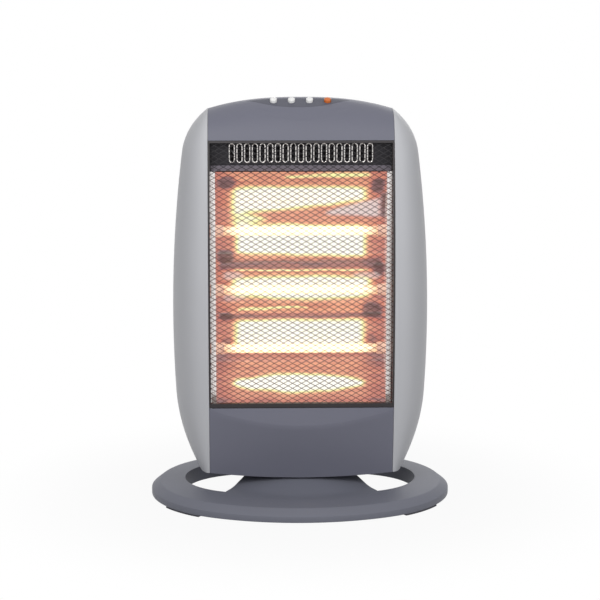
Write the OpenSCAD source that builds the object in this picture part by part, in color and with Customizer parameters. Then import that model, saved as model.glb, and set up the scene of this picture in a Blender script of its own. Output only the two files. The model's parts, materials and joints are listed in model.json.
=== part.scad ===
// Free-standing halogen heater: a body with three quartz tubes swivels on an open oval base.
// The origin is on the floor under the swivel axis, +Z is up and the front faces -Y. Millimetres.

/* [Body] */
// Widest width of the body, over both side shells
body_w = 278.4; // [262:0.2:290]
// Height of the crown above the floor
body_top = 440; // [434:0.5:446]
// Height of the lower edge of the front, at its middle
body_bottom = 30; // [28:0.5:33]
// Height of the lower edge of the side shells
shell_bottom = 36; // [35:0.5:38]
// Height at which the body is widest and deepest
waist_z = 205; // [190:1:220]
// How far the front stands before the swivel axis
front_y = 76; // [72:0.5:80]
// How far the back stands behind the swivel axis
back_y = 56; // [52:0.5:60]
// Width of the dark centre band between the two seams
panel_w = 199; // [195:0.5:202]
// Wall of the moulded shells
wall = 2.4; // [2:0.1:2.8]
// Radius of the long curve of each side, seen from the front
side_curve_r = 1400; // [1200:10:1800]
// Radius of the front, seen from the side
front_curve_r = 700; // [650:10:900]
// Radius of the back, seen from the side
back_curve_r = 1500; // [1200:10:2000]
// Height at which the shoulders start to round
shoulder_z = 382; // [376:1:388]
// Height below which the sides draw in
hip_z = 120; // [110:1:130]
// Radius with which the sides draw in
hip_r = 211; // [190:1:240]
// How far the crown falls from the middle to a seam
crown_drop = 12.4; // [10:0.2:14]
// Place of the crest, front to back
crest_y = -4; // [-8:0.5:0]
// How full the rounding of the crown is
dome_power = 2.6; // [2.2:0.1:3]
// How full the side shells are, seen from above
plan_power = 2.2; // [2:0.1:2.6]
// How far the chin of the lower panel stands proud
chin = 5; // [2:0.5:7]
// How far below the guard the crease of the chin hangs, at its middle
chin_drop = 18; // [12:1:24]

/* [Front opening] */
// Lower edge of the guard opening
opening_bottom = 111; // [106:0.5:114]
// Upper edge of the guard opening
opening_top = 397; // [392:0.5:400]
// Gap along the seams between neighbouring mouldings
seam = 0.3; // [0.2:0.05:0.4]
// Height of the lower bar of the guard frame
frame_foot = 4.4; // [3:0.2:6]
// Height of the upper bar of the guard frame
frame_head = 2.4; // [2:0.2:4]
// Width of the side bars of the guard frame
frame_side = 1.8; // [1.4:0.1:2.4]
// Depth of the guard frame
frame_depth = 7; // [5:0.5:8]
// How far the guard frame lies behind the front of the mouldings
frame_inset = 0.8; // [0.5:0.1:1.5]
// Number of diamonds across the guard net
net_columns = 8; // [7:1:8]
// Number of diamonds up the guard net
net_rows = 17; // [15:1:17]
// Width of a strand of the guard net
strand = 1.3; // [1:0.1:1.6]
// Thickness of the guard net
net_thick = 1.2; // [0.8:0.1:1.6]

/* [Heating tubes] */
// Height of the middle tube
tube_z = 233; // [230:0.5:236]
// Distance from one tube to the next
tube_pitch = 64.5; // [60:0.5:68]
// How far the tubes lie before the swivel axis
tube_y = 28; // [26:0.5:29]
// Outer diameter of a quartz tube
tube_d = 10; // [8:0.5:11]
// Wall of a quartz tube
tube_wall = 1; // [0.8:0.1:1.4]
// Length of a quartz tube
tube_len = 180; // [176:1:182]
// Diameter of the heating coil in a tube
coil_d = 3.2; // [2:0.2:4]
// Diameter of a ceramic end cap
cap_d = 13; // [12.5:0.5:14]
// Length of a ceramic end cap
cap_len = 15; // [13:0.5:16]

/* [Reflector] */
// Thickness of the reflector and chassis sheet
sheet = 0.8; // [0.6:0.1:1]
// Width between the two reflector sides
field_w = 184; // [180:0.5:186]
// Lower end of the reflector
field_bottom = 110; // [108:0.5:112]
// Upper end of the reflector
field_top = 363; // [360:0.5:366]
// How far the reflector's front edge lies before the swivel axis
field_front = 44; // [42:0.5:44]
// How far the floor of each trough lies before the swivel axis
trough_floor = 12; // [10:0.5:14]
// Height of the slanted wall at each end of the reflector
trough_slope = 42; // [34:1:46]
// How far the two ridges lie before the swivel axis
ridge_front = 25; // [20:0.5:28]
// Distance of each ridge from the middle tube
ridge_offset = 27; // [24:0.5:29]
// Half height of the foot of a ridge
ridge_half = 10; // [7:0.5:12]
// Number of slots in the vent above the reflector
vent_slots = 19; // [15:1:19]
// Distance from one vent slot to the next
vent_pitch = 8.2; // [8:0.1:8.8]
// Width of a vent slot
vent_slot_w = 4.4; // [3:0.2:5]
// Height of a vent slot
vent_slot_h = 19; // [14:0.5:20]

/* [Controls] */
// Tilt of the button strip towards the front, in degrees
strip_tilt = 26; // [22:1:30]
// How far the front edge of the strip lies before the swivel axis
strip_front = 31; // [29:0.5:32]
// Height of the front edge of the strip
strip_z = 430.4; // [430:0.1:431]
// Distance up the strip to the row of buttons
button_up = 13.5; // [13:0.1:14]
// Diameter of a push button
button_d = 7.6; // [6:0.2:8]
// How far a push button stands out of the strip
button_h = 4.4; // [4:0.1:5]
// Distance from one push button to the next
button_pitch = 19.4; // [17:0.2:20]
// Travel of a push button
button_travel = 2.5; // [1.5:0.1:3]
// Clearance round a push button
button_gap = 0.3; // [0.2:0.05:0.4]

/* [Back] */
// Width of the grip in the back
grip_w = 96; // [80:1:110]
// Height of the grip in the back
grip_h = 27; // [22:0.5:30]
// Height above the floor of the middle of the grip
grip_z = 356; // [352:0.5:358]
// Depth of the grip
grip_deep = 20; // [14:0.5:24]
// Length of an air slot in the back
slot_len = 50; // [40:1:54]
// Height of an air slot in the back
slot_h = 4; // [3:0.5:5]
// Distance from one air slot to the next
slot_pitch = 11; // [9:0.5:13]
// Height of the lowest air slot
slots_from = 70; // [60:1:80]
// Height that the air slots stay below
slots_to = 325; // [300:1:330]
// Diameter of the hole for the mains lead
lead_hole = 7.2; // [6:0.2:8]
// Distance of the lead's gland from the middle
gland_x = 76; // [74:1:80]
// Height of the lead's gland
gland_z = 62; // [58:1:66]
// Distance of the back's screws from the middle
screw_x = 72; // [70:1:78]

/* [Base] */
// Width of the base
base_w = 330; // [310:1:350]
// Depth of the base
base_d = 270; // [260:1:280]
// How much shorter the end radius of the base is than half its depth
base_ease = 9; // [7:0.5:17]
// Height of the vertical rim of the base
rim_h = 8.5; // [7:0.5:10]
// Width of the bevel above the rim
bevel_w = 9; // [7:0.5:11]
// Height of the top of the bevel
bevel_h = 15.5; // [14:0.5:16]
// Height of the deck of the base
deck_h = 18; // [17:0.5:19]
// Width of the sloping top of the ring
slope_w = 36; // [30:1:37]
// Wall of the base moulding
base_wall = 3; // [2.5:0.1:3.5]
// Width of the opening inside the ring
window_w = 256; // [240:1:262]
// Depth of the opening inside the ring
window_d = 168; // [160:1:174]
// How much shorter the end radius of that opening is than half its depth
window_ease = 12; // [8:0.5:18]
// Half width of the front bridge where it meets the ring
bridge_wide = 82; // [76:1:88]
// Half width of the bridges where they meet the hub
bridge_narrow = 57; // [55:1:62]
// Half width of the rear bridge where it meets the ring
bridge_rear = 50; // [42:1:55]
// Radius of the hub deck
hub_r = 58; // [56:1:62]
// Height of the collar that the deck rises to round the swivel
collar_top = 27.8; // [26.5:0.1:28.5]
// Radius from which the deck rises to that collar
rise_r = 88; // [84:1:92]
// Clearance between that collar and the turning skirt of the tray
collar_gap = 1; // [0.8:0.1:1.4]
// How far the base stands off the floor on its pads
foot_h = 1.5; // [1:0.1:2]
// Width of a foot pad
foot_w = 13; // [9:0.5:15]

/* [Swivel] */
// Distance from the swivel axis to the crank
crank_offset = 24; // [23.5:0.1:24.4]
// Radius on which the crank pin turns
crank_r = 13.86; // [13.5:0.02:14]
// Diameter of the crank pin
crank_pin_d = 5; // [4:0.2:5]
// Clearance on each side of the pin in its slot
slot_gap = 1.3; // [1.2:0.1:1.5]
// Diameter of the pivot bolt
pivot_d = 8; // [7:0.5:8]
// Radial clearance of the pivot bolt in the base
pivot_gap = 0.06; // [0.04:0.01:0.09]
// Inner radius of the glide ring
glide_r = 43; // [42.5:0.5:44]
// Width of the glide ring
glide_w = 5; // [4:0.5:5.5]
// Thickness of the glide ring
glide_t = 2; // [1.5:0.1:2.5]
// Height of the tray that closes the body below
tray_z = 37; // [36.5:0.5:38]
// Thickness of the tray
tray_t = 3; // [2.5:0.1:3.5]
// Radius of the swivel motor
motor_r = 16; // [15:0.5:16]
// Height of the swivel motor
motor_h = 16; // [14:0.5:18]

/* [Hidden] */
$fn = 48;
// Facets of the long cylinders that shape the front and the back
fine = 720;

DARK = "#7c7e8a";
SHELL = "#a6aaab";
BLACK = "#2a282c";
STEEL = "#c8cacc";
BRIGHT = "#e8e4e0";
NYLON = "#f2f2f2";
RUBBER = "#4a4a50";

half_w = body_w / 2;
half_panel = panel_w / 2;
// Half width of the pieces between the seams
inner_x = half_panel - seam;
// Sliver of side shell left at the top of a seam
shell_tip = 0.6;
seam_top = body_top - crown_drop;
shoulder_rise = seam_top - shoulder_z;
shoulder_in = half_w - arc(seam_top - waist_z, side_curve_r) - half_panel - shell_tip;
shoulder_r = (pow(shoulder_rise, 2) + pow(shoulder_in, 2)) / (2 * shoulder_in);
front_axis = front_curve_r - front_y;
back_axis = back_y - back_curve_r;
dome_h = body_top - opening_top;
// How far a cutting tool reaches past what it cuts
over = 1;
// Fit between pieces that are pushed together
fit = 0.1;
close_fit = 0.06;
tray_top = tray_z + tray_t;
net_w = panel_w - 2 * seam - 2 * frame_side - 2 * fit;
net_bottom = opening_bottom + seam + frame_foot + fit;
net_top = opening_top - seam - frame_head - fit;
side_x = field_w / 2;
side_bottom = field_bottom - 4;
side_top = opening_top - 3;
shield_y = 2;
tube_levels = [for (k = [-1:1]) tube_z + k * tube_pitch];
cap_end = tube_len / 2 + 8;

// Depth of a circle of radius r at the distance d from its axis
function arc(d, r) = r - sqrt(r * r - d * d);

// Front and back of the body at height z, t inside the surface
function front_at(z, t = 0) = -front_y + t + arc(z - waist_z, front_curve_r - t);
function back_at(z, t = 0) = back_y - t - arc(z - waist_z, back_curve_r - t);

// Share of the crown's rounding reached at level s, from 0 at its foot to 1 at the crest
function dome(s, t = 0) = let (u = max(0, min(1, (s - opening_top) / (dome_h - t))))
    1 - pow(1 - pow(u, dome_power), 1 / dome_power);
function dome_level(phi, t = 0) = opening_top + (dome_h - t) * pow(sin(phi), 2 / dome_power);
function front_face(s, t = 0) = front_at(s, t) + (crest_y - front_at(body_top - t, t)) * dome(s, t);
function back_face(s, t = 0) = back_at(s, t) + (crest_y - back_at(body_top - t, t)) * dome(s, t);

// How far level s has fallen at the distance x from the middle, over the crown
function fall(s, x) = s <= opening_top ? 0
    : crown_drop * pow(min(abs(x), half_panel) / half_panel, 2.5) * pow((s - opening_top) / dome_h, 2);

// Half width of the body at height z
function side_w(z, t = 0) = half_w - t - arc(z - waist_z, side_curve_r)
    - (z > shoulder_z ? arc(z - shoulder_z, shoulder_r) : 0)
    - (z < hip_z ? arc(hip_z - z, hip_r) : 0);

// A point of the right side shell at level s: a runs from -90 at the front seam to 90 at the back one
function side_point(s, a, t) = let (
    z = s - fall(s, half_panel),
    w = max(side_w(z, t), half_panel + shell_tip / 3),
    reach = (a < 0 ? front_face(s, t) : back_face(s, t)) - crest_y
) [half_panel + (w - half_panel) * pow(cos(a), 2 / plan_power),
   crest_y + reach * pow(abs(sin(a)), 2 / plan_power), z];

// The plane of the button strip, at the depth y
function strip_at(y) = strip_z + (y + strip_front) * tan(strip_tilt);
function cover_point(phi, back, x, t) = let (
    s = dome_level(phi, t),
    y = back ? back_face(s, t) : front_face(s, t),
    z = s - fall(s, x)
) [x, y, back ? z : min(z, strip_at(y) - t / cos(strip_tilt))];

// A point of the lower panel: the chin swells below a crease that hangs lowest at the middle
function chin_at(s, x) = let (
    m = 1 - pow(x / half_panel, 2),
    crease = opening_bottom - chin_drop * m - 2
) chin * m * (s > crease ? (opening_bottom - s) / (opening_bottom - crease)
                         : (s - body_bottom) / (crease - body_bottom));
function panel_point(s, x, t) = let (
    rise = (shell_bottom - body_bottom) * pow(x / half_panel, 2),
    z = s + rise * (opening_bottom - s) / (opening_bottom - body_bottom)
) [x, front_at(z, t) - chin_at(s, x), z];

// Triangles of a closed sheet, given as a grid of outer points and a grid of inner points
function sheet_faces(rows, cols) = let (n = rows * cols) concat(
    [for (r = [0:rows - 2], c = [0:cols - 2], k = [0, 1]) let (
        a = r * cols + c + k * n, b = a + cols, d = a + 1, e = b + 1)
        each k == 0 ? [[a, b, e], [a, e, d]] : [[a, e, b], [a, d, e]]],
    [for (r = [0:rows - 2]) let (a = r * cols, b = a + cols)
        each [[b, a, a + n], [b, a + n, b + n]]],
    [for (r = [0:rows - 2]) let (a = r * cols + cols - 1, b = a + cols)
        each [[a, b, b + n], [a, b + n, a + n]]],
    [for (c = [0:cols - 2]) each [[c, c + 1, c + 1 + n], [c, c + 1 + n, c + n]]],
    [for (c = [0:cols - 2]) let (a = (rows - 1) * cols + c, d = a + 1)
        each [[d, a, a + n], [d, a + n, d + n]]]);
module closed_sheet(outer, inner) {
    polyhedron(points = concat([for (row = outer) each row], [for (row = inner) each row]),
        faces = sheet_faces(len(outer), len(outer[0])), convexity = 8);
}

// Points of an oval of four arcs, w wide and d deep with end radius r, drawn in by inset
function oval(w, d, r, inset = 0, step = 5) = let (
    c = w / 2 - r,
    big_r = (c * c + d * d / 4 - r * r) / (d - 2 * r),
    k = big_r - d / 2,
    join = atan2(k, c)
) [for (a = [0:step:359]) let (
    q = a > 180 ? 360 - a : a, end = q <= join || q >= 180 - join)
    end ? [sign(cos(a)) * c + (r - inset) * cos(a), (r - inset) * sin(a)]
        : [(big_r - inset) * cos(a), (big_r - inset) * sin(a) - sign(sin(a)) * k]];

// A solid built up from rings of points that all have the same count
module stack(rings) {
    n = len(rings[0]);
    m = len(rings);
    polyhedron(points = [for (ring = rings) each ring],
        faces = concat(
            [[for (i = [0:n - 1]) i]],
            [for (j = [0:m - 2], i = [0:n - 1]) let (
                a = j * n + i, b = j * n + (i + 1) % n, c = a + n, d = b + n)
                each [[a, c, d], [a, d, b]]],
            [[for (i = [n - 1:-1:0]) (m - 1) * n + i]]), convexity = 4);
}

// Cylinder along X, and along Y
module rod_x(r, h, center = true) { rotate([0, 90, 0]) cylinder(r = r, h = h, center = center); }
module rod_y(r, h, center = false) { rotate([-90, 0, 0]) cylinder(r = r, h = h, center = center); }

// Slab between the depths t0 and t1 behind the curved front, w wide and from z0 to z1
module front_slab(t0, t1, w, z0, z1) {
    intersection() {
        translate([0, front_axis, waist_z]) difference() {
            rod_x(front_curve_r - t0, w, $fn = fine);
            rod_x(front_curve_r - t1, w + 2 * over, $fn = fine);
        }
        translate([-w / 2 - over, -front_y - over, z0])
            cube([w + 2 * over, front_y + over, z1 - z0]);
    }
}
// Slab between the depths t0 and t1 behind the curved back
module back_slab(t0, t1, w, z0, z1) {
    intersection() {
        translate([0, back_axis, waist_z]) difference() {
            rod_x(back_curve_r - t0, w, $fn = fine);
            rod_x(back_curve_r - t1, w + 2 * over, $fn = fine);
        }
        translate([-w / 2 - over, 0, z0]) cube([w + 2 * over, back_y + over, z1 - z0]);
    }
}
// Slot with round ends, its length along X
module slot_2d(length, width) {
    square([length - width, width], center = true);
    for (s = [-1, 1]) translate([s * (length - width) / 2, 0]) circle(d = width);
}
// Places its children in the frame of the button strip, on the row of buttons
module on_strip() {
    translate([0, -strip_front + button_up * cos(strip_tilt), strip_z + button_up * sin(strip_tilt)])
        rotate([strip_tilt, 0, 0]) children();
}

// Base
base_end_r = base_d / 2 - base_ease;
window_end_r = window_d / 2 - window_ease;
hub_cover_z = 3;
hub_cover_t = 2;
boss_drop = 2.5;
boss_wall = 2.4;
deck_under = deck_h - base_wall;
washer_r = 10;
washer_t = 1.5;
bolt_head = 4.6;
hub_screw_ring = 46;
post_r = 4.5;
hub_screws = [for (a = [45:90:315]) hub_screw_ring * [cos(a), sin(a)]];
screw_r = 1.5;
screw_gap = 0.2;
foot_span = [31, 55];
// Depth at which the front bridge starts to widen, and at which it is as wide as it gets
bridge_from = 10;
mouth = 0.39 * window_d;

// Places its children at the four hub screws
module at_hub_screws() { for (p = hub_screws) translate([p[0], p[1], 0]) children(); }

// The openings beside the hub, wider by grow all round
module window_2d(grow = 0) {
    difference() {
        polygon(oval(window_w + 2 * grow, window_d + 2 * grow, window_end_r + grow));
        circle(hub_r - grow);
        for (s = [-1, 1]) scale_x(s) polygon([
            [-over, bridge_from], [bridge_narrow - grow, bridge_from], [bridge_narrow - grow, -bridge_from],
            [bridge_wide - grow, -mouth], [bridge_wide - grow, -window_d], [-over, -window_d]]);
        polygon([[-bridge_narrow + grow, 0], [bridge_narrow - grow, 0],
            [bridge_rear - grow, window_d], [-bridge_rear + grow, window_d]]);
    }
}
module scale_x(s) { if (s < 0) mirror([1, 0, 0]) children(); else children(); }

// Plan of the four foot pads, under the rim
module pads_2d() {
    for (a = [0, 180], s = [-1, 1]) rotate(a) polygon([
        each [for (q = [foot_span[0]:4:foot_span[1]]) rim_point(s * q, 0)],
        each [for (q = [foot_span[1]:-4:foot_span[0]]) rim_point(s * q, foot_w)]]);
}
function rim_point(a, inset) = let (c = base_w / 2 - base_end_r)
    [c + (base_end_r - inset) * cos(a), (base_end_r - inset) * sin(a)];

// The deck rises as a cone to the collar round the skirt of the tray
collar_r = glide_r + glide_w + collar_gap;
deck_cone = [[collar_r + base_wall, collar_top], [rise_r, deck_h]];
module deck_rise() {
    rotate_extrude() polygon([[collar_r, deck_under], [collar_r, collar_top], each deck_cone, [rise_r, deck_under]]);
}
module deck_rise_hollow() {
    rotate_extrude() polygon([each [for (p = deck_cone) p - [0, base_wall]],
        [rise_r, deck_under - over], [collar_r + base_wall, deck_under - over]]);
}

function base_ring_at(inset, z) = [for (p = oval(base_w, base_d, base_end_r, inset)) [p[0], p[1], z]];

module base_ring() {
    color(DARK) difference() {
        union() {
            difference() {
                stack([base_ring_at(0, foot_h), base_ring_at(0, rim_h),
                    base_ring_at(bevel_w, bevel_h), base_ring_at(slope_w, deck_h)]);
                difference() {
                    stack([base_ring_at(base_wall, foot_h - over),
                        base_ring_at(base_wall, rim_h - base_wall / 2),
                        base_ring_at(bevel_w + base_wall / 2, bevel_h - base_wall),
                        base_ring_at(slope_w, deck_under)]);
                    linear_extrude(deck_h) window_2d(base_wall);
                    linear_extrude(rim_h) pads_2d();
                }
            }
            translate([0, 0, deck_under - boss_drop])
                cylinder(d = pivot_d + 2 * boss_wall, h = boss_drop + over);
            at_hub_screws() translate([0, 0, hub_cover_z + hub_cover_t])
                cylinder(r = post_r, h = deck_under - hub_cover_z - hub_cover_t + over);
            deck_rise();
        }
        difference() {
            deck_rise_hollow();
            linear_extrude(collar_top) window_2d(base_wall);
        }
        translate([0, 0, -over]) linear_extrude(collar_top + 2 * over) window_2d();
        cylinder(d = pivot_d + 2 * pivot_gap, h = deck_h + over);
        translate([0, -(crank_offset + 0.5), -over]) rotate(90)
            linear_extrude(deck_h + 2 * over)
                slot_2d(2 * crank_r + crank_pin_d + 2, crank_pin_d + 2 * slot_gap);
        at_hub_screws() translate([0, 0, -over]) cylinder(r = screw_r + fit, h = deck_under - over);
    }
}

module rubber_feet() { color(RUBBER) linear_extrude(foot_h) pads_2d(); }

module hub_cover() {
    color(BLACK) translate([0, 0, hub_cover_z]) difference() {
        cylinder(r = hub_r - base_wall - 1.5, h = hub_cover_t);
        at_hub_screws() translate([0, 0, -over])
            cylinder(r = screw_r + screw_gap, h = hub_cover_t + 2 * over);
    }
}

// Pan-head screw whose head stands on the plane z = 0 and whose shank points down
module screw(length, r = screw_r, head_r = 3, head_h = 1.6) {
    translate([0, 0, -length]) cylinder(r = r, h = length + head_h / 2);
    difference() {
        cylinder(r = head_r, h = head_h);
        translate([0, 0, head_h - 0.7]) for (a = [0, 90]) rotate(a)
            translate([-head_r * 0.6, -0.35, 0]) cube([head_r * 1.2, 0.7, over]);
    }
}

module hub_cover_screws() {
    color(STEEL) at_hub_screws() translate([0, 0, hub_cover_z]) mirror([0, 0, 1]) screw(9, head_h = 1.3);
}

module glide_ring() {
    color(NYLON) translate([0, 0, deck_h]) difference() {
        cylinder(r = glide_r + glide_w, h = glide_t);
        translate([0, 0, -over]) cylinder(r = glide_r, h = glide_t + 2 * over);
    }
}

// Swivel
glide_top = deck_h + glide_t;
glide_gap = 0.2;
shaft_r = 3;
arm_z = deck_h + 4;
arm_t = 3;
pin_bottom = deck_under + 0.6;
motor_bore = 12;
leg_y = [-20, 0];
leg_top = 130;
leg_foot = 11;
tray_front = -front_at(tray_z, wall) - 0.5;
tray_back = back_at(tray_z, wall) - 0.4;
ear_x = 21;
ear_w = 8;
// How far the tray's wings stay inside the side shells, and their reach to the front and the back
wing_in = 3.8;
wing_front = 0.72 * tray_front;
wing_back = 0.66 * tray_back;

module bottom_tray() {
    wing = side_w(tray_z, wall) - wing_in;
    color(DARK) difference() {
        union() {
            translate([-inner_x + 0.3, -tray_front, tray_z])
                cube([2 * inner_x - 0.6, tray_front + tray_back, tray_t]);
            translate([-wing, -wing_front, tray_z]) cube([2 * wing, wing_front + wing_back, tray_t]);
            translate([0, 0, glide_top + glide_gap]) difference() {
                cylinder(r = glide_r + glide_w, h = tray_z - glide_top - glide_gap + tray_t / 2);
                translate([0, 0, -over]) cylinder(r = glide_r, h = tray_z - glide_top - glide_gap + over);
            }
            translate([0, 0, deck_h + 0.3]) cylinder(d = pivot_d + 4.4, h = tray_z - deck_h);
        }
        cylinder(d = pivot_d + 2 * fit, h = tray_top + over);
        translate([-body_w / 2, tray_back, shell_bottom - seam]) cube([body_w, back_y, tray_top]);
        translate([0, -crank_offset, tray_z - over]) cylinder(r = shaft_r + 0.4, h = tray_t + 2 * over);
        for (s = [-1, 1]) {
            translate([s * ear_x, -crank_offset, tray_z - over])
                cylinder(r = screw_r + fit, h = tray_t + 2 * over);
            translate([s * leg_screw_x, leg_y[0] / 2, tray_z - over])
                cylinder(r = screw_r + fit, h = tray_t + 2 * over);
        }
    }
}

module pivot_bolt() {
    top = deck_under - boss_drop - 0.1 - washer_t;
    color(STEEL) {
        translate([0, 0, top - bolt_head]) cylinder(d = pivot_d * 1.6, h = bolt_head, $fn = 6);
        translate([0, 0, top - over]) cylinder(d = pivot_d, h = tray_top + 7 - top + over);
    }
}

module pivot_washer() {
    color(STEEL) translate([0, 0, deck_under - boss_drop - 0.1 - washer_t]) difference() {
        cylinder(r = washer_r, h = washer_t);
        translate([0, 0, -over]) cylinder(d = pivot_d + 2 * fit, h = washer_t + 2 * over);
    }
}

module pivot_nut() {
    color(STEEL) translate([0, 0, tray_top]) difference() {
        cylinder(d = pivot_d * 1.6, h = 5.5, $fn = 6);
        translate([0, 0, -over]) cylinder(d = pivot_d + fit, h = 8);
    }
}

module swivel_motor() {
    color(STEEL) translate([0, -crank_offset, tray_top]) difference() {
        union() {
            cylinder(r = motor_r, h = motor_h);
            translate([-ear_x - ear_w / 2, -ear_w / 2, 0]) cube([2 * ear_x + ear_w, ear_w, 2 * sheet]);
        }
        translate([0, 0, -over]) cylinder(r = shaft_r + close_fit, h = motor_bore + over);
        for (s = [-1, 1]) translate([s * ear_x, 0, -over]) cylinder(r = screw_r + fit, h = 4);
    }
}

module motor_screws() {
    color(STEEL) for (s = [-1, 1])
        translate([s * ear_x, -crank_offset, tray_top + 2 * sheet]) screw(6);
}

module crank() {
    color("#8a8c90") {
        translate([0, -crank_offset, arm_z]) cylinder(r = shaft_r, h = tray_top - arm_z + motor_bore - 0.5);
        translate([0, -crank_offset - crank_r / 2, arm_z]) rotate(90) linear_extrude(arm_t)
            slot_2d(crank_r + 9, 9);
        translate([0, -crank_offset - crank_r, pin_bottom])
            cylinder(d = crank_pin_d, h = arm_z - pin_bottom + over);
    }
}

tilt_box = [18, 20, 22];
tilt_x = 42;
module tilt_switch() {
    color(NYLON) translate([tilt_x, -tilt_box[1] / 2, tray_top]) difference() {
        cube(tilt_box);
        translate([wall, wall, tilt_box[2] / 2]) cube(tilt_box - [2 * wall, 2 * wall, 0]);
    }
}

// Chassis: a leg on each side carries the reflector box on the tray
leg_x = side_x + sheet;
leg_screw_x = leg_x - 6;
leg_screw_z = side_bottom + 9;
module chassis_leg() {
    difference() {
        union() {
            translate([leg_x, leg_y[0], tray_top]) cube([sheet, leg_y[1] - leg_y[0], leg_top - tray_top]);
            translate([leg_x - leg_foot, leg_y[0], tray_top])
                cube([leg_foot + sheet, leg_y[1] - leg_y[0], sheet]);
        }
        translate([leg_screw_x, leg_y[0] / 2, tray_z]) cylinder(r = screw_r + fit, h = tray_t + 3);
        translate([leg_x, leg_y[0] / 2, leg_screw_z]) rod_x(screw_r + fit, 6);
    }
}
module chassis_leg_right() { color(STEEL) chassis_leg(); }
module chassis_leg_left() { color(STEEL) mirror([1, 0, 0]) chassis_leg(); }
module chassis_screws() {
    color(STEEL) for (s = [-1, 1]) scale_x(s) {
        translate([leg_screw_x, leg_y[0] / 2, tray_top + sheet]) screw(5.5);
        translate([leg_x + sheet, leg_y[0] / 2, leg_screw_z]) rotate([0, 90, 0]) screw(5);
    }
}

// Mouldings of the body
module lower_panel() {
    rows = [for (k = [0:9]) body_bottom + (opening_bottom - seam - body_bottom) * k / 9];
    xs = [for (k = [-8:8]) inner_x * k / 8];
    color(DARK) closed_sheet(
        [for (s = rows) [for (x = xs) panel_point(s, x, 0)]],
        [for (s = rows) [for (x = xs) panel_point(s, x, wall)]]);
}

module side_shell() {
    angles = [for (k = [-7:7]) 90 * k / 7];
    low = [for (k = [0:12]) shell_bottom + (opening_top - shell_bottom) * k / 12];
    turns = [for (k = [1:7]) 12 * k];
    closed_sheet(
        [for (s = concat(low, [for (f = turns) dome_level(f)])) [for (a = angles) side_point(s, a, 0)]],
        [for (s = concat(low, [for (f = turns) dome_level(f, wall)]))
            [for (a = angles) side_point(s, a, wall)]]);
}
module side_shell_right() { color(SHELL) side_shell(); }
module side_shell_left() { color(SHELL) mirror([1, 0, 0]) side_shell(); }

bracket_x = 45;
bracket_z = -(wall + 6);
buttons_x = [for (k = [-1.5:1.5]) k * button_pitch];
stem_r = 2;
module top_cover() {
    steps = 12;
    xs = [for (k = [-14:14]) inner_x * k / 14];
    turns = concat([for (k = [0:steps]) [90 * k / steps, false]],
        [for (k = [steps - 1:-1:0]) [90 * k / steps, true]]);
    color(DARK) difference() {
        union() {
            closed_sheet(
                [for (f = turns) [for (x = xs) cover_point(f[0], f[1], x, 0)]],
                [for (f = turns) [for (x = xs) cover_point(f[0], f[1], x, wall)]]);
            on_strip() for (s = [-1, 1]) translate([s * bracket_x, 0, bracket_z])
                cylinder(r = 4, h = -bracket_z - wall / 2);
        }
        on_strip() {
            for (x = buttons_x) translate([x, 0, -wall - 4])
                cylinder(d = button_d + 2 * button_gap, h = wall + 10);
            for (s = [-1, 1]) translate([s * bracket_x, 0, bracket_z - over])
                cylinder(r = screw_r + fit, h = 5 + over);
        }
    }
}

boss_r = 5;
key_r = 3.7;
screw_rows = [120, 250, 380];
boss_from = shield_y + sheet + 0.2;
head_y = boss_from + 4.5;
lean = asin((waist_z - gland_z) / back_curve_r);
neck_r = 7;
module at_rear_screws() { for (s = [-1, 1], z = screw_rows) translate([s * screw_x, 0, z]) children(); }
module at_gland() { translate([gland_x, back_at(gland_z), gland_z]) rotate([-lean, 0, 0]) children(); }
module rear_cover() {
    rows = floor((slots_to - slots_from) / slot_pitch);
    color(DARK) difference() {
        back_slab(0, wall, 2 * inner_x, shell_bottom, opening_top - seam);
        at_rear_screws() translate([0, head_y, 0]) rod_y(key_r, back_y);
        translate([0, boss_from, 0]) rotate([-90, 0, 0]) linear_extrude(back_y) {
            translate([-grip_w / 2, -grip_z - grip_h / 2]) square([grip_w, grip_h]);
            for (s = [-1, 1], k = [0:rows - 1])
                translate([s * (slot_len / 2 + 5), -slots_from - k * slot_pitch])
                    slot_2d(slot_len, slot_h);
        }
        at_gland() translate([0, -2 * wall, 0]) rod_y(neck_r, 4 * wall);
    }
}
// Posts that reach from the cover to the heat shield, with a screw deep in each
module rear_posts() {
    color(DARK) difference() {
        intersection() {
            at_rear_screws() translate([0, boss_from, 0]) rod_y(boss_r, back_y);
            translate([0, back_axis, waist_z])
                rod_x(back_curve_r - wall - close_fit, 2 * inner_x, $fn = fine);
        }
        at_rear_screws() {
            translate([0, head_y, 0]) rod_y(key_r, back_y);
            translate([0, shield_y, 0]) rod_y(screw_r + fit, back_y);
        }
    }
}
module rear_screws() {
    color(STEEL) at_rear_screws() translate([0, head_y, 0]) rotate([-90, 0, 0]) screw(head_y - shield_y + 3);
}

cup_wall = 2;
cup_gap = 0.15;
module handle_cup() {
    floor_y = back_at(grip_z) - grip_deep;
    color(DARK) difference() {
        intersection() {
            translate([-grip_w / 2 - cup_wall, floor_y - cup_wall, grip_z - grip_h / 2 - cup_wall])
                cube([grip_w + 2 * cup_wall, grip_deep + cup_wall, grip_h + 2 * cup_wall]);
            translate([0, back_axis, waist_z])
                rod_x(back_curve_r - wall - cup_gap, grip_w + 4 * cup_wall, $fn = fine);
        }
        translate([-grip_w / 2, floor_y, grip_z - grip_h / 2]) cube([grip_w, back_y, grip_h]);
    }
}

module cord_gland() {
    color(BLACK) at_gland() difference() {
        union() {
            translate([0, 0.05, 0]) rod_y(neck_r + 2.5, 2.2);
            translate([0, -wall - 2, 0]) rod_y(neck_r - fit, wall + 3);
            translate([0, -wall - 2, 0]) rod_y(neck_r + 1.5, 1.8);
        }
        translate([0, -back_y, 0]) rod_y(lead_hole / 2, 2 * back_y);
    }
}

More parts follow.
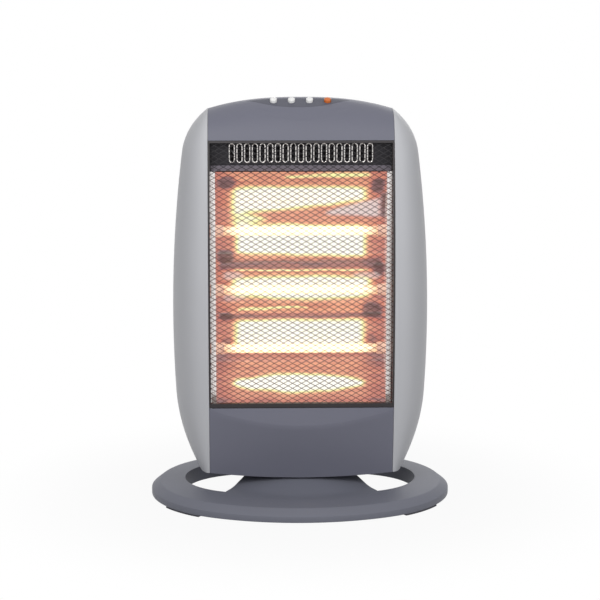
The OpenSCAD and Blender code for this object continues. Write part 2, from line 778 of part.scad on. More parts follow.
// Guard
module guard_frame() {
    color(BLACK) difference() {
        front_slab(frame_inset, frame_inset + frame_depth, 2 * inner_x - 2 * fit,
            opening_bottom + seam, opening_top - seam);
        translate([-net_w / 2 - fit, -front_y - over, net_bottom - fit])
            cube([net_w + 2 * fit, front_y, net_top - net_bottom + 2 * fit]);
    }
}

// A flat net of diamonds, standing on y = 0: each gap is drawn in from its cell by half a strand
module net_2d() {
    cw = net_w / net_columns;
    ch = (net_top - net_bottom) / net_rows;
    share = 1 - strand / 2 / (cw * ch / 2 / norm([cw, ch]));
    a = share * cw / 2;
    b = share * ch / 2;
    edge = 0.6 * strand;
    gaps = concat(
        [for (i = [0:net_columns - 1], j = [0:net_rows - 1])
            net_gap((i + 0.5) * cw, (j + 0.5) * ch, [[a, 0], [0, b], [-a, 0], [0, -b]])],
        [for (i = [1:net_columns - 1], j = [1:net_rows - 1])
            net_gap(i * cw, j * ch, [[a, 0], [0, b], [-a, 0], [0, -b]])],
        [for (i = [1:net_columns - 1], s = [1, -1])
            net_gap(i * cw, s > 0 ? 0 : net_rows * ch,
                [[a * (1 - edge / b), s * edge], [0, s * b], [-a * (1 - edge / b), s * edge]])],
        [for (j = [1:net_rows - 1], s = [1, -1])
            net_gap(s > 0 ? 0 : net_columns * cw, j * ch,
                [[s * edge, b * (1 - edge / a)], [s * a, 0], [s * edge, -b * (1 - edge / a)]])]);
    loops = concat([[[0, 0], [net_w, 0], [net_w, net_rows * ch], [0, net_rows * ch]]], gaps);
    starts = [for (k = 0, n = 0; k < len(loops); n = n + len(loops[k]), k = k + 1) n];
    translate([-net_w / 2, 0]) polygon(points = [for (loop = loops) each loop],
        paths = [for (k = [0:len(loops) - 1]) [for (i = [0:len(loops[k]) - 1]) starts[k] + i]]);
}
function net_gap(x, y, corners) = [for (c = corners) [x + c[0], y + c[1]]];

module guard_net() {
    color(BLACK) intersection() {
        front_slab(frame_inset + 1.5, frame_inset + 1.5 + net_thick, net_w, net_bottom, net_top);
        translate([0, 0, net_bottom]) rotate([90, 0, 0]) linear_extrude(front_y + over) net_2d();
    }
}

// Reflector box
vent_y = front_at(opening_top - seam, frame_inset + frame_depth) + 0.3;
vent_low = field_top + 0.5;
module vent_panel() {
    color(BLACK) translate([0, vent_y + sheet, 0]) rotate([90, 0, 0]) linear_extrude(sheet) difference() {
        translate([-net_w / 2 + fit, vent_low])
            square([net_w - 2 * fit, opening_top - seam - 0.5 - vent_low]);
        for (k = [0:vent_slots - 1])
            translate([(k - (vent_slots - 1) / 2) * vent_pitch, field_top + vent_slot_h / 2 + 10.5])
                rotate(90) slot_2d(vent_slot_h, vent_slot_w);
    }
}

module trough_reflector() {
    line = [[-field_front, field_top], [-trough_floor, field_top - trough_slope],
        each [for (s = [1, -1]) each [
            [-trough_floor, tube_z + s * ridge_offset + ridge_half],
            [-ridge_front, tube_z + s * ridge_offset],
            [-trough_floor, tube_z + s * ridge_offset - ridge_half]]],
        [-trough_floor, field_bottom + trough_slope], [-field_front, field_bottom]];
    back = [for (k = [len(line) - 1:-1:0]) line[k] + [1.3 * sheet, 0]];
    color(BRIGHT) translate([-side_x + fit, 0, 0]) rotate([90, 0, 90])
        linear_extrude(field_w - 2 * fit) polygon(concat(line, back));
}

module reflector_apron() {
    reach = -front_at(opening_bottom + seam, frame_inset + frame_depth) - 0.3;
    color(BRIGHT) translate([-side_x + fit, -reach, field_bottom + 0.2])
        cube([field_w - 2 * fit, reach - field_front - 0.2, sheet]);
}

// The vent panel stands in a notch in the front edge of each side
module reflector_side() {
    difference() {
        translate([0, 0, side_bottom]) linear_extrude(side_top - side_bottom) {
            translate([side_x, -field_front - sheet / 2]) square([sheet, field_front + sheet / 2 + shield_y]);
            translate([side_x, -field_front - sheet]) square([net_w / 2 - side_x, sheet]);
        }
        for (z = tube_levels) translate([side_x, -tube_y, z]) rod_x(cap_d / 2 + fit, 6);
        translate([side_x, leg_y[0] / 2, leg_screw_z]) rod_x(screw_r + fit, 6);
        translate([side_x - over, -field_front - over, vent_low - fit])
            cube([net_w, field_front + over + vent_y + sheet + fit, side_top]);
    }
}
module reflector_side_right() { color(BRIGHT) reflector_side(); }
module reflector_side_left() { color(BRIGHT) mirror([1, 0, 0]) reflector_side(); }

air_r = 3;
air_pitch = [24, 26];
air_from = 190;
module heat_shield() {
    color(STEEL) difference() {
        translate([-side_x - 3, shield_y, side_bottom])
            cube([field_w + 6, sheet, side_top - side_bottom]);
        at_rear_screws() rod_y(screw_r + fit, 2 * shield_y + over);
        for (i = [-2:2], j = [0:4]) translate([i * air_pitch[0], 0, air_from + j * air_pitch[1]])
            rod_y(air_r, 2 * shield_y + over);
    }
}

// Tubes, counted from below
module tube_at(k) { translate([0, -tube_y, tube_levels[k]]) children(); }
module quartz_tube() {
    difference() {
        rod_x(tube_d / 2, tube_len);
        rod_x(tube_d / 2 - tube_wall, tube_len + 2 * over);
    }
}
module tube_lower() { color("#fff2c8") tube_at(0) quartz_tube(); }
module tube_middle() { color("#fff2c8") tube_at(1) quartz_tube(); }
module tube_upper() { color("#fff2c8") tube_at(2) quartz_tube(); }
// Heating coil, drawn by its outer shape, with its straight lead at each end
module heating_coil() {
    rod_x(coil_d / 2, tube_len - 20);
    rod_x(0.6, 2 * cap_end);
}
module coil_lower() { color("#ffb040") tube_at(0) heating_coil(); }
module coil_middle() { color("#ffb040") tube_at(1) heating_coil(); }
module coil_upper() { color("#ffb040") tube_at(2) heating_coil(); }

module ceramic_caps() {
    color("#d8d2c4") for (s = [-1, 1], k = [0:2]) scale_x(s) tube_at(k) difference() {
        translate([cap_end - cap_len, 0, 0]) rod_x(cap_d / 2, cap_len, center = false);
        translate([cap_end - cap_len - over, 0, 0])
            rod_x(tube_d / 2 + close_fit, tube_len / 2 + fit - cap_end + cap_len + over, center = false);
        rod_x(0.9, 3 * cap_end);
    }
}

bracket_over = 18;
bracket_w = 20;
module tube_bracket() {
    low = tube_levels[0] - bracket_over;
    high = tube_levels[2] + bracket_over;
    x = cap_end + fit;
    difference() {
        translate([0, -tube_y - bracket_w / 2, 0]) union() {
            translate([x, 0, low]) cube([sheet, bracket_w, high - low]);
            for (z = [low, high - sheet]) translate([leg_x, 0, z])
                cube([x + sheet - leg_x, bracket_w, sheet]);
        }
        for (k = [0:2]) tube_at(k) rod_x(1.5, 3 * cap_end);
    }
}
module tube_bracket_right() { color(STEEL) tube_bracket(); }
module tube_bracket_left() { color(STEEL) mirror([1, 0, 0]) tube_bracket(); }

// Wiring
block = [44, 13, 16];
block_z = 150;
wire_r = 1.3;
wire_y = shield_y + sheet + 6;
cutout = [38, 330];
cutout_r = 8;
pole_pitch = 10;
pole_r = 2.4;
wire_low = 84;
wire_x = [12, -12, tilt_x + 8];
module terminal_block() {
    color(NYLON) translate([0, shield_y + sheet + fit, block_z]) difference() {
        translate([-block[0] / 2, 0, 0]) cube(block);
        for (k = [-1.5:1.5]) translate([k * pole_pitch, pole_pitch / 2, block[2] / 2])
            rod_y(pole_r, block[1]);
    }
}
module thermal_cutout() {
    color(BLACK) translate([cutout[0], shield_y + sheet + fit, cutout[1]]) {
        rod_y(cutout_r, 9);
        translate([-12, 0, -4]) cube([24, 1.2, 8]);
    }
}
module wire(points) {
    for (k = [0:len(points) - 2]) let (d = points[k + 1] - points[k])
        translate(points[k]) rotate([0, acos(d[2] / norm(d)), atan2(d[1], d[0])])
            cylinder(r = wire_r, h = norm(d));
    for (k = [1:len(points) - 2]) translate(points[k]) sphere(r = wire_r);
}
module inner_wiring() {
    color("#b04030") {
        wire([[wire_x[0], wire_y, block_z + block[2] + fit], [wire_x[0], wire_y, cutout[1]],
            [cutout[0] - cutout_r - 2 * fit, wire_y, cutout[1]]]);
        wire([[wire_x[1], wire_y, block_z - fit], [wire_x[1], wire_y, wire_low],
            [wire_x[2], wire_y, wire_low], [wire_x[2], wire_y, tray_top + tilt_box[2] + fit]]);
    }
}

// Controls
bank = [76, 12, 16];
bracket_end = 6;
bracket_d = 16;
bank_top = bracket_z - sheet - 0.2;
stem_end = bank_top - 3;
module switch_bracket() {
    color(STEEL) on_strip() difference() {
        translate([-bracket_x - bracket_end, -bracket_d / 2, bracket_z - sheet - fit])
            cube([2 * (bracket_x + bracket_end), bracket_d, sheet]);
        for (x = buttons_x) translate([x, 0, bracket_z - 3]) cylinder(r = stem_r + 0.6, h = 6);
        for (s = [-1, 1]) translate([s * bracket_x, 0, bracket_z - 3]) cylinder(r = screw_r + fit, h = 6);
    }
}
module bracket_screws() {
    color(STEEL) on_strip() for (s = [-1, 1])
        translate([s * bracket_x, 0, bracket_z - sheet - 1.5 * fit]) mirror([0, 0, 1]) screw(5);
}
module switch_bank() {
    color(BLACK) on_strip() difference() {
        translate([-bank[0] / 2, -bank[1] / 2, bank_top - bank[2]]) cube(bank);
        for (x = buttons_x) translate([x, 0, stem_end - button_travel - 0.5])
            cylinder(r = stem_r + 0.3, h = bank[2]);
    }
}
// Push button with a domed head; its stem ends in a well of the switch bank
module push_button() {
    r = button_d / 2;
    skirt = bracket_z + button_travel + 0.5;
    rise = 1.4;
    ball = (r * r + rise * rise) / (2 * rise);
    rotate_extrude() polygon(concat(
        [[0, stem_end], [stem_r, stem_end], [stem_r, skirt], [r, skirt], [r, button_h - rise]],
        [for (k = [1:6]) let (x = r * (1 - k / 6)) [x, button_h - ball + sqrt(ball * ball - x * x)]]));
}
module button_at(k) { on_strip() translate([buttons_x[k], 0, 0]) push_button(); }
module button_low() { color("white") button_at(0); }
module button_medium() { color("white") button_at(1); }
module button_high() { color("white") button_at(2); }
module button_swivel() { color("#cc7838") button_at(3); }

base_ring();
rubber_feet();
hub_cover();
hub_cover_screws();
glide_ring();
bottom_tray();
pivot_bolt();
pivot_washer();
pivot_nut();
swivel_motor();
motor_screws();
crank();
tilt_switch();
chassis_leg_left();
chassis_leg_right();
chassis_screws();
lower_panel();
side_shell_left();
side_shell_right();
top_cover();
rear_cover();
rear_posts();
rear_screws();
handle_cup();
cord_gland();
guard_frame();
guard_net();
vent_panel();
trough_reflector();
reflector_apron();
reflector_side_left();
reflector_side_right();
heat_shield();
tube_upper();
tube_middle();
tube_lower();
coil_upper();
coil_middle();
coil_lower();
ceramic_caps();
tube_bracket_left();
tube_bracket_right();
terminal_block();
thermal_cutout();
inner_wiring();
switch_bracket();
bracket_screws();
switch_bank();
button_low();
button_medium();
button_high();
button_swivel();
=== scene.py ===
# %% [markdown]
# # A halogen heater on a swivelling base
# The CAD model is the skeleton: every size, joint and place comes from it, and this script dresses it.
# A piece either keeps its CAD mesh and gets a better material, or a smoother mesh takes its place.

# %% Load the frame
import bmesh, bpy, json, math
from mathutils import Matrix, Vector


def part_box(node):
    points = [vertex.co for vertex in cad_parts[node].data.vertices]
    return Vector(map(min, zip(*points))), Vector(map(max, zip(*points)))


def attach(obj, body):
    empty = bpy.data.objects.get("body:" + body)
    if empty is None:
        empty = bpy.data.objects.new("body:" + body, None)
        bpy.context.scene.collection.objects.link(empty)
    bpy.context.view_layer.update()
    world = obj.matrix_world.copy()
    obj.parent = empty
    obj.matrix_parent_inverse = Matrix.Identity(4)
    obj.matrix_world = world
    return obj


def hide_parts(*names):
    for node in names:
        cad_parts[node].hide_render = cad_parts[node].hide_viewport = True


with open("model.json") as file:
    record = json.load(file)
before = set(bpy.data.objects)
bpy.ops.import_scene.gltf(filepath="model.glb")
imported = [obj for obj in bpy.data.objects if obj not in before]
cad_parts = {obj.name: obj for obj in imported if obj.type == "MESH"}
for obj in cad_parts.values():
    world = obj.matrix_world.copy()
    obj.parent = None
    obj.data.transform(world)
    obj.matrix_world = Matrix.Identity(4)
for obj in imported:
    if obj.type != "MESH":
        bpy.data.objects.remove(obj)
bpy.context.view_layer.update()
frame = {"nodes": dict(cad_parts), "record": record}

MM = 0.001
nodes = frame["nodes"]
heater = next(b for b, held in frame["record"]["behaviour"]["bodies"].items() if "rear_cover" in held)

# %% [markdown]
# ## Camera
# The photograph was taken from about two metres with a long lens, a little above the object. The lens is
# given as the focal length in pixels of the 600 pixel wide picture, so the frame is the photograph's own.

# %% Camera
def new_object(name, data):
    made = bpy.data.objects.new(name, data)
    bpy.context.scene.collection.objects.link(made)
    return made

target = Vector((0, 0, 217 * MM))
azimuth, elevation, distance = math.radians(-1.5), math.radians(9.5), 2.2
focal_px, picture_px = 1998.7, 600
away = Vector((math.sin(azimuth) * math.cos(elevation), -math.cos(azimuth) * math.cos(elevation),
               math.sin(elevation)))
lens = bpy.data.cameras.new("photo_camera")
lens.sensor_width = 36
lens.lens = focal_px / picture_px * lens.sensor_width
camera = new_object("photo_camera", lens)
camera.location = target + distance * away
camera.rotation_euler = away.to_track_quat("Z", "Y").to_euler()
bpy.context.scene.camera = camera
print("lens:", round(lens.lens, 2), "mm, camera at", [round(v, 3) for v in camera.location])

# %% [markdown]
# ## Node and colour helpers
# Shaders and Geometry Nodes are both trees of nodes. One function adds a node, sets its settings, and sets
# or links its inputs. Colours are written as the sRGB values one would pick from a picture, and one
# function turns them into the linear numbers that the renderer works with. Most patterns read the place
# on the object, so each new material comes with that.

# %% Node and colour helpers
def add(tree, kind, inputs=None, **settings):
    """One node. An input takes a value, a socket, a node (its first output in use) or a list of these."""
    made = tree.nodes.new(kind)
    for key, value in settings.items():
        setattr(made, key, value)
    for key, value in (inputs or {}).items():
        for source in value if isinstance(value, list) else [value]:
            if isinstance(source, bpy.types.Node):
                source = next(socket for socket in source.outputs if socket.enabled)
            if isinstance(source, bpy.types.NodeSocket):
                tree.links.new(source, made.inputs[key])
            else:
                made.inputs[key].default_value = source
    return made

def srgb(code, times=1.0):
    """The linear colour of an sRGB hex value, made lighter or darker by times."""
    parts = [int(code[i:i + 2], 16) / 255 for i in (1, 3, 5)]
    linear = [p / 12.92 if p <= 0.04045 else ((p + 0.055) / 1.055) ** 2.4 for p in parts]
    return tuple(min(1, v * times) for v in linear) + (1,)

def new_finish(name):
    """An empty material: itself, its tree and the place on the object."""
    finish = bpy.data.materials.new(name)
    finish.use_nodes = True
    tree = finish.node_tree
    tree.nodes.clear()
    return finish, tree, add(tree, "ShaderNodeTexCoord").outputs["Object"]
print("mid grey is", [round(v, 3) for v in srgb("#808080")])

# %% [markdown]
# ## Floor and light
# The photograph is a cut-out on white: the floor and the room are white for the camera and for
# reflections, while a part of the floor's own shading is kept, so that the base still stands in a shadow.
# Large soft lamps light the object at a level at which a colour renders about as it is written.

# %% Floor and light
def looked_at(tree):
    """1 where the camera, a mirror or glass looks, and 0 for the light that falls on the object."""
    ray = add(tree, "ShaderNodeLightPath")
    camera_ray, mirror_ray, glass_ray = (ray.outputs[f"Is {kind} Ray"]
                                         for kind in ("Camera", "Glossy", "Transmission"))
    opaque = add(tree, "ShaderNodeMath", {0: camera_ray, 1: mirror_ray}, operation="MAXIMUM")
    return add(tree, "ShaderNodeMath", {0: opaque, 1: glass_ray}, operation="MAXIMUM")

white = (1, 1, 1, 1)
world = bpy.data.worlds.new("white_studio")
bpy.context.scene.world = world
world.use_nodes = True
sky = world.node_tree
sky.nodes.clear()
strength = add(sky, "ShaderNodeMapRange", {"Value": looked_at(sky), "To Min": 0.3, "To Max": 1.0})
room = add(sky, "ShaderNodeBackground", {"Color": white, "Strength": strength})
add(sky, "ShaderNodeOutputWorld", {"Surface": room})

# The floor's own shading counts near the object and fades to plain white 0.4 m away
floor_paint, tree, spot = new_finish("white_floor")
far = add(tree, "ShaderNodeVectorMath", {0: spot}, operation="LENGTH")
plain = add(tree, "ShaderNodeMapRange", {"Value": far, "From Min": 0.16, "From Max": 0.4,
                                         "To Min": 0.94, "To Max": 1.0}, interpolation_type="SMOOTHSTEP")
share = add(tree, "ShaderNodeMath", {0: looked_at(tree), 1: plain}, operation="MULTIPLY")
matt = add(tree, "ShaderNodeBsdfDiffuse", {"Color": srgb("#a0a0a2")})
glow = add(tree, "ShaderNodeEmission", {"Color": white, "Strength": 1.0})
mixed = add(tree, "ShaderNodeMixShader", {0: share, 1: matt, 2: glow})
add(tree, "ShaderNodeOutputMaterial", {"Surface": mixed})
bpy.ops.mesh.primitive_circle_add(vertices=96, radius=6, fill_type="NGON")
floor = bpy.context.object
floor.name = "studio_floor"
floor.data.materials.append(floor_paint)

def soft_lamp(name, place, size, watts):
    lamp = bpy.data.lights.new(name, "AREA")
    lamp.shape, lamp.size, lamp.energy = "DISK", size, watts
    held = new_object(name, lamp)
    held.location = place
    held.rotation_euler = (Vector(place) - target).to_track_quat("Z", "Y").to_euler()
    return held
lamps = [soft_lamp("key_lamp", (-0.85, -2.3, 1.75), 1.6, 36),
         soft_lamp("fill_lamp", (1.4, -2.0, 1.3), 1.6, 19),
         soft_lamp("top_lamp", (0.0, 0.2, 2.4), 1.6, 2), soft_lamp("back_lamp", (0.6, 2.4, 1.2), 1.8, 6)]
bpy.context.scene.view_settings.view_transform = "Standard"
print("lamps:", [lamp.name for lamp in lamps])

# %% [markdown]
# ## Moulded plastics
# The housing is ABS from a steel tool whose surface was spark-eroded, which leaves a fine satin grain.
# Such grain is about 0.3 mm wide. The picture shows a little less than a pixel to a millimetre, so the
# grain is drawn 0.9 mm wide, to be seen at all. A slow change of tone stands for the flow of the melt.

# %% Moulded plastics
def moulded(name, code, roughness, grain=0.9, depth=0.012, flow=70, spread=0.03):
    """Widths of the grain and the flow and the grain's depth in mm; spread is the change of tone."""
    finish, tree, place = new_finish(name)
    spark = add(tree, "ShaderNodeTexNoise", {"Vector": place, "Scale": 1 / (grain * MM), "Detail": 3.0,
                                             "Roughness": 0.62})
    melt = add(tree, "ShaderNodeTexNoise", {"Vector": place, "Scale": 1 / (flow * MM), "Detail": 1.0})
    tint = add(tree, "ShaderNodeMix", {0: melt, 6: srgb(code, 1 - spread), 7: srgb(code, 1 + spread)},
               data_type="RGBA")
    sheen = add(tree, "ShaderNodeMapRange", {"Value": spark, "From Min": 0.3, "From Max": 0.7,
                                             "To Min": roughness - 0.05, "To Max": roughness + 0.06})
    bump = add(tree, "ShaderNodeBump", {"Height": spark, "Distance": depth * MM, "Strength": 0.9})
    skin = add(tree, "ShaderNodeBsdfPrincipled", {"Base Color": tint, "Roughness": sheen, "IOR": 1.53,
                                                  "Specular IOR Level": 0.3, "Normal": bump})
    add(tree, "ShaderNodeOutputMaterial", {"Surface": skin})
    return finish

# Slate grey ABS: satin; its copy for the button strip is a little rougher, and its darker grey is painted
# shade
slate_abs = moulded("slate_grey_abs", "#71727f", 0.46)
shaded_strip_abs = moulded("slate_grey_abs_painted_shade", "#5d5e69", 0.52)
base_abs = moulded("slate_grey_abs_base", "#70727d", 0.5)
# Silver-grey ABS: coloured in the mass with a pearl pigment, which gives a softer, wider highlight
silver_abs = moulded("silver_grey_abs", "#c1c2c6", 0.46, grain=0.8, spread=0.02)
# Black polypropylene: waxy and darker, for the parts underneath
black_pp = moulded("black_polypropylene", "#26262a", 0.5)
# Natural nylon: milky and smooth, as a slide ring is
natural_nylon = moulded("natural_nylon", "#e9e6de", 0.38, depth=0.004, spread=0.015)
# Moulded grey rubber: matt, with the coarser grain that grips a floor
foot_rubber = moulded("grey_rubber", "#4a4a50", 0.85, grain=1.4, depth=0.05)
print("plastics:", [m.name for m in bpy.data.materials if "abs" in m.name or "poly" in m.name])

# %% [markdown]
# ## Glossy buttons
# A button's cap is moulded in a polished tool, so it is smooth and has small sharp highlights. Only the
# slightest waviness of the surface is left, far below the plastic's own thickness.

# %% Glossy buttons
def polished_cap(name, code):
    finish, tree, place = new_finish(name)
    ripple = add(tree, "ShaderNodeTexNoise", {"Vector": place, "Scale": 1 / (3 * MM), "Detail": 1.0})
    bump = add(tree, "ShaderNodeBump", {"Height": ripple, "Distance": 0.02 * MM})
    tint = add(tree, "ShaderNodeMix", {0: ripple, 6: srgb(code, 0.94), 7: srgb(code)}, data_type="RGBA")
    skin = add(tree, "ShaderNodeBsdfPrincipled", {"Base Color": tint, "Roughness": 0.2, "IOR": 1.53,
                                                  "Normal": bump})
    add(tree, "ShaderNodeOutputMaterial", {"Surface": skin})
    return finish
white_cap = polished_cap("glossy_white_abs", "#fbfbfa")
orange_cap = polished_cap("glossy_orange_abs", "#dc7430")
print("caps:", white_cap.name, orange_cap.name)

# %% [markdown]
# ## Black enamel
# The guard, its frame and the vent panel are steel, dipped in or sprayed with black heat-proof enamel.
# The enamel flows before it sets, so it has a slight orange-peel surface and is a soft semi-gloss. The
# guard's thin wires stand so near the tubes that they catch a little of the red.

# %% Black enamel
glow_fades, glow_ends = 352 * MM, 364 * MM

def enamel(name, code, roughness, peel, depth, lit=0.0):
    """Width and depth of the orange peel in mm; lit is the painted glow it catches below the vent."""
    finish, tree, place = new_finish(name)
    skinned = add(tree, "ShaderNodeTexNoise", {"Vector": place, "Scale": 1 / (peel * MM), "Detail": 2.0})
    dust = add(tree, "ShaderNodeTexNoise", {"Vector": place, "Scale": 1 / (28 * MM), "Detail": 4.0})
    sheen = add(tree, "ShaderNodeMapRange", {"Value": dust, "To Min": roughness - 0.08,
                                             "To Max": roughness + 0.1})
    bump = add(tree, "ShaderNodeBump", {"Height": skinned, "Distance": depth * MM})
    tint = add(tree, "ShaderNodeMix", {0: dust, 6: srgb(code), 7: srgb(code, 1.25)}, data_type="RGBA")
    coated = {"Base Color": tint, "Roughness": sheen, "Normal": bump, "IOR": 1.5,
              "Specular IOR Level": 0.32}
    if lit:
        axes = add(tree, "ShaderNodeSeparateXYZ", {0: place})
        caught = add(tree, "ShaderNodeMapRange", {"Value": axes.outputs["Z"], "From Min": glow_fades,
                                                  "From Max": glow_ends, "To Min": lit, "To Max": 0.0})
        # Painted glow: the red light of the tubes on the wires, laid in as emission below the vent
        coated.update({"Emission Color": srgb("#a4685a"), "Emission Strength": caught})
    skin = add(tree, "ShaderNodeBsdfPrincipled", coated)
    add(tree, "ShaderNodeOutputMaterial", {"Surface": skin})
    return finish
wire_enamel = enamel("black_wire_enamel", "#252327", 0.42, 1.5, 0.01, lit=0.2)
frame_enamel = enamel("black_frame_enamel", "#302c2e", 0.42, 1.5, 0.01)
panel_enamel = enamel("black_panel_enamel", "#232126", 0.46, 2.0, 0.02)
# A lighter grey copy of the black enamel for the lip under the vent: a painted highlight
lip_highlight_enamel = enamel("grey_lip_painted_highlight", "#7c7680", 0.44, 2.0, 0.02)
print("enamels:", wire_enamel.name, frame_enamel.name, panel_enamel.name, lip_highlight_enamel.name)

# %% [markdown]
# ## Bare metals
# The chassis is hot-dip galvanised sheet, whose zinc froze in flat crystals about 7 mm across: a Voronoi
# pattern gives each crystal its own tone and gloss. The screws are electroplated with zinc, which follows
# every turning mark, so they get a fine noise in bump and gloss instead.

# %% Bare metals
galvanised, tree, place = new_finish("galvanised_sheet")
crystals = add(tree, "ShaderNodeTexVoronoi", {"Vector": place, "Scale": 1 / (7 * MM)})
facet = add(tree, "ShaderNodeSeparateColor", {"Color": crystals.outputs["Color"]})
tint = add(tree, "ShaderNodeMix", {0: facet, 6: srgb("#a9adb1"), 7: srgb("#c3c6c8")}, data_type="RGBA")
sheen = add(tree, "ShaderNodeMapRange", {"Value": facet.outputs[1], "To Min": 0.3, "To Max": 0.46})
skin = add(tree, "ShaderNodeBsdfPrincipled", {"Base Color": tint, "Metallic": 1.0, "Roughness": sheen})
add(tree, "ShaderNodeOutputMaterial", {"Surface": skin})

plated, tree, place = new_finish("zinc_plated_steel")
marks = add(tree, "ShaderNodeTexNoise", {"Vector": place, "Scale": 1 / (0.8 * MM), "Detail": 2.0})
bump = add(tree, "ShaderNodeBump", {"Height": marks, "Distance": 0.01 * MM})
sheen = add(tree, "ShaderNodeMapRange", {"Value": marks, "To Min": 0.24, "To Max": 0.4})
skin = add(tree, "ShaderNodeBsdfPrincipled", {"Base Color": srgb("#c2c4c6"), "Metallic": 1.0,
                                              "Roughness": sheen, "Normal": bump})
add(tree, "ShaderNodeOutputMaterial", {"Surface": skin})
print("metals:", galvanised.name, plated.name)

# %% [markdown]
# ## Painted bands of reflected light
# The reflector is bright rolled aluminium. With the heater on it shows the tubes again and again, as
# broad hot bands along its troughs, over a dull orange field. Tracing that light needs thousands of
# samples, so the bands are painted into the metal as a glow: painted reflections of the tubes, and painted
# shadows between them. Each band is a soft-edged wedge, measured along the object, so it stays on the metal
# when the camera moves.

# %% Painted bands of reflected light
# One band or shadow: height of its middle and half its height at the centre, how much its middle rises and
# its half height grows from the centre to the right end, left and right end, share by which it thins
# towards both ends, blur of its edge, all lengths in mm; then the painted light it adds, below 0 for shadow
bands = [(333, 12.5, 3.5, -4, -73, 71, 0.1, 9, 0.62), (358.5, 2.5, 1.2, 0.6, -16, 74, 0.2, 4, 0.34),
         (308, 5, 0, -4, -74, -36, 0.2, 9, 0.42), (285.5, 16.2, -1.5, 0, -69, 71, 0.05, 8, 0.66),
         (252.5, 0.9, 0, 0, -72, 74, 0, 2, 0.42), (233, 12.4, 0, 0.5, -74, 77, 0.2, 9, 0.62),
         (211.5, 1.1, 0.9, -0.4, -68, 8, 0.2, 2.5, 0.4), (183, 15, 0.5, 0, -71, 70, 0.05, 9, 0.62),
         (166, 3.4, 0, 0, -80, 76, 0, 5, 0.4), (130, 8.6, 0, 0, -73, 69, 0.7, 7, 0.66)]
shadows = [(260, 5, 1, 0, -88, 88, 0, 4, -0.2), (203, 3, 0, 0, -88, 88, 0, 3, -0.18),
           (110, 6, 0, 0, -92, 92, 0, 6, -0.09), (152, 9, 0, 0, -92, 92, 0, 8, -0.06),
           (351, 7, 0, 0, -88, -70, 0.4, 5, -0.22), (268, 6, 0, 0, -90, -72, 0.4, 5, -0.24),
           (202, 5, 0, 0, -88, -74, 0.4, 5, -0.2), (174, 5, 0, 0, -86, -74, 0.4, 5, -0.14),
           (347, 8, 0, 0, 76, 90, 0.4, 5, -0.24), (254, 8, 0, 0, 80, 92, 0.4, 5, -0.24),
           (209, 7, 0, 0, 68, 88, 0.4, 5, -0.22), (174, 6, 0, 0, 70, 84, 0.4, 5, -0.14),
           (324, 14, 0, 0, 87, 95, 0, 4, -0.2)]
# Painted reflection where the sheet mirrors the pale room, not a tube; same order, the last one a share
mirrored = [(318, 6, 3.5, 4.5, 28, 86, 0, 5, 0.85), (246, 4, 0, -1, -84, -62, 0.3, 4, 0.5),
            (222, 3, 0, -1, -84, -60, 0.3, 4, 0.4), (246, 3.5, 0, 1, 58, 86, 0.3, 4, 0.5)]

def painted_band_light(tree, x, z, level, half, rise, growth, left, right, thin, blur, heat):
    """The painted light of one band, given as heat: all of it inside, nothing outside, soft in between."""
    centre, reach = (left + right) / 2 * MM, (right - left) / 2 * MM
    off = add(tree, "ShaderNodeMath", {0: x, 1: centre}, operation="SUBTRACT")
    along = add(tree, "ShaderNodeMath", {0: off, 1: reach}, operation="DIVIDE")
    middle = add(tree, "ShaderNodeMath", {0: along, 1: rise * MM, 2: level * MM}, operation="MULTIPLY_ADD")
    square = add(tree, "ShaderNodeMath", {0: along, 1: along}, operation="MULTIPLY")
    thinner = add(tree, "ShaderNodeMath", {0: square, 1: -thin, 2: 1.0}, operation="MULTIPLY_ADD")
    wedge = add(tree, "ShaderNodeMath", {0: along, 1: growth * MM, 2: half * MM}, operation="MULTIPLY_ADD")
    height = add(tree, "ShaderNodeMath", {0: wedge, 1: thinner}, operation="MULTIPLY")
    up = add(tree, "ShaderNodeMath", {0: z, 1: middle}, operation="SUBTRACT")
    distance = add(tree, "ShaderNodeMath", {0: up}, operation="ABSOLUTE")
    above = add(tree, "ShaderNodeMath", {0: distance, 1: height}, operation="SUBTRACT")
    either = add(tree, "ShaderNodeMath", {0: along}, operation="ABSOLUTE")
    past = add(tree, "ShaderNodeMath", {0: either, 1: 1.0}, operation="SUBTRACT")
    beside = add(tree, "ShaderNodeMath", {0: past, 1: reach}, operation="MULTIPLY")
    # The ends fade over a longer stretch than the long edges do
    edges = [add(tree, "ShaderNodeMapRange", {"Value": off, "From Min": -soft * MM / 2, "To Min": 1.0,
                                              "From Max": soft * MM / 2, "To Max": 0.0},
                 interpolation_type="SMOOTHSTEP") for off, soft in ((above, blur), (beside, 1.6 * blur))]
    inside = add(tree, "ShaderNodeMath", {0: edges[0], 1: edges[1]}, operation="MULTIPLY")
    return add(tree, "ShaderNodeMath", {0: inside, 1: heat}, operation="MULTIPLY")
print("bands:", len(bands), "shadows:", len(shadows), "mirrored patches:", len(mirrored))

# %% [markdown]
# ## The lit sheet
# The sheet starts as an even field of painted glow, the tubes' light it reflects, brightest in the middle.
# Faint long streaks and the painted bands are added to it, the painted shadows are taken away, and a colour
# ramp turns the sum into the red, orange and pale yellow of that reflected light. Long shallow dents bend
# every edge a little, as in real thin sheet.

# %% The lit sheet
lit_metal, tree, place = new_finish("lit_rolled_aluminium")
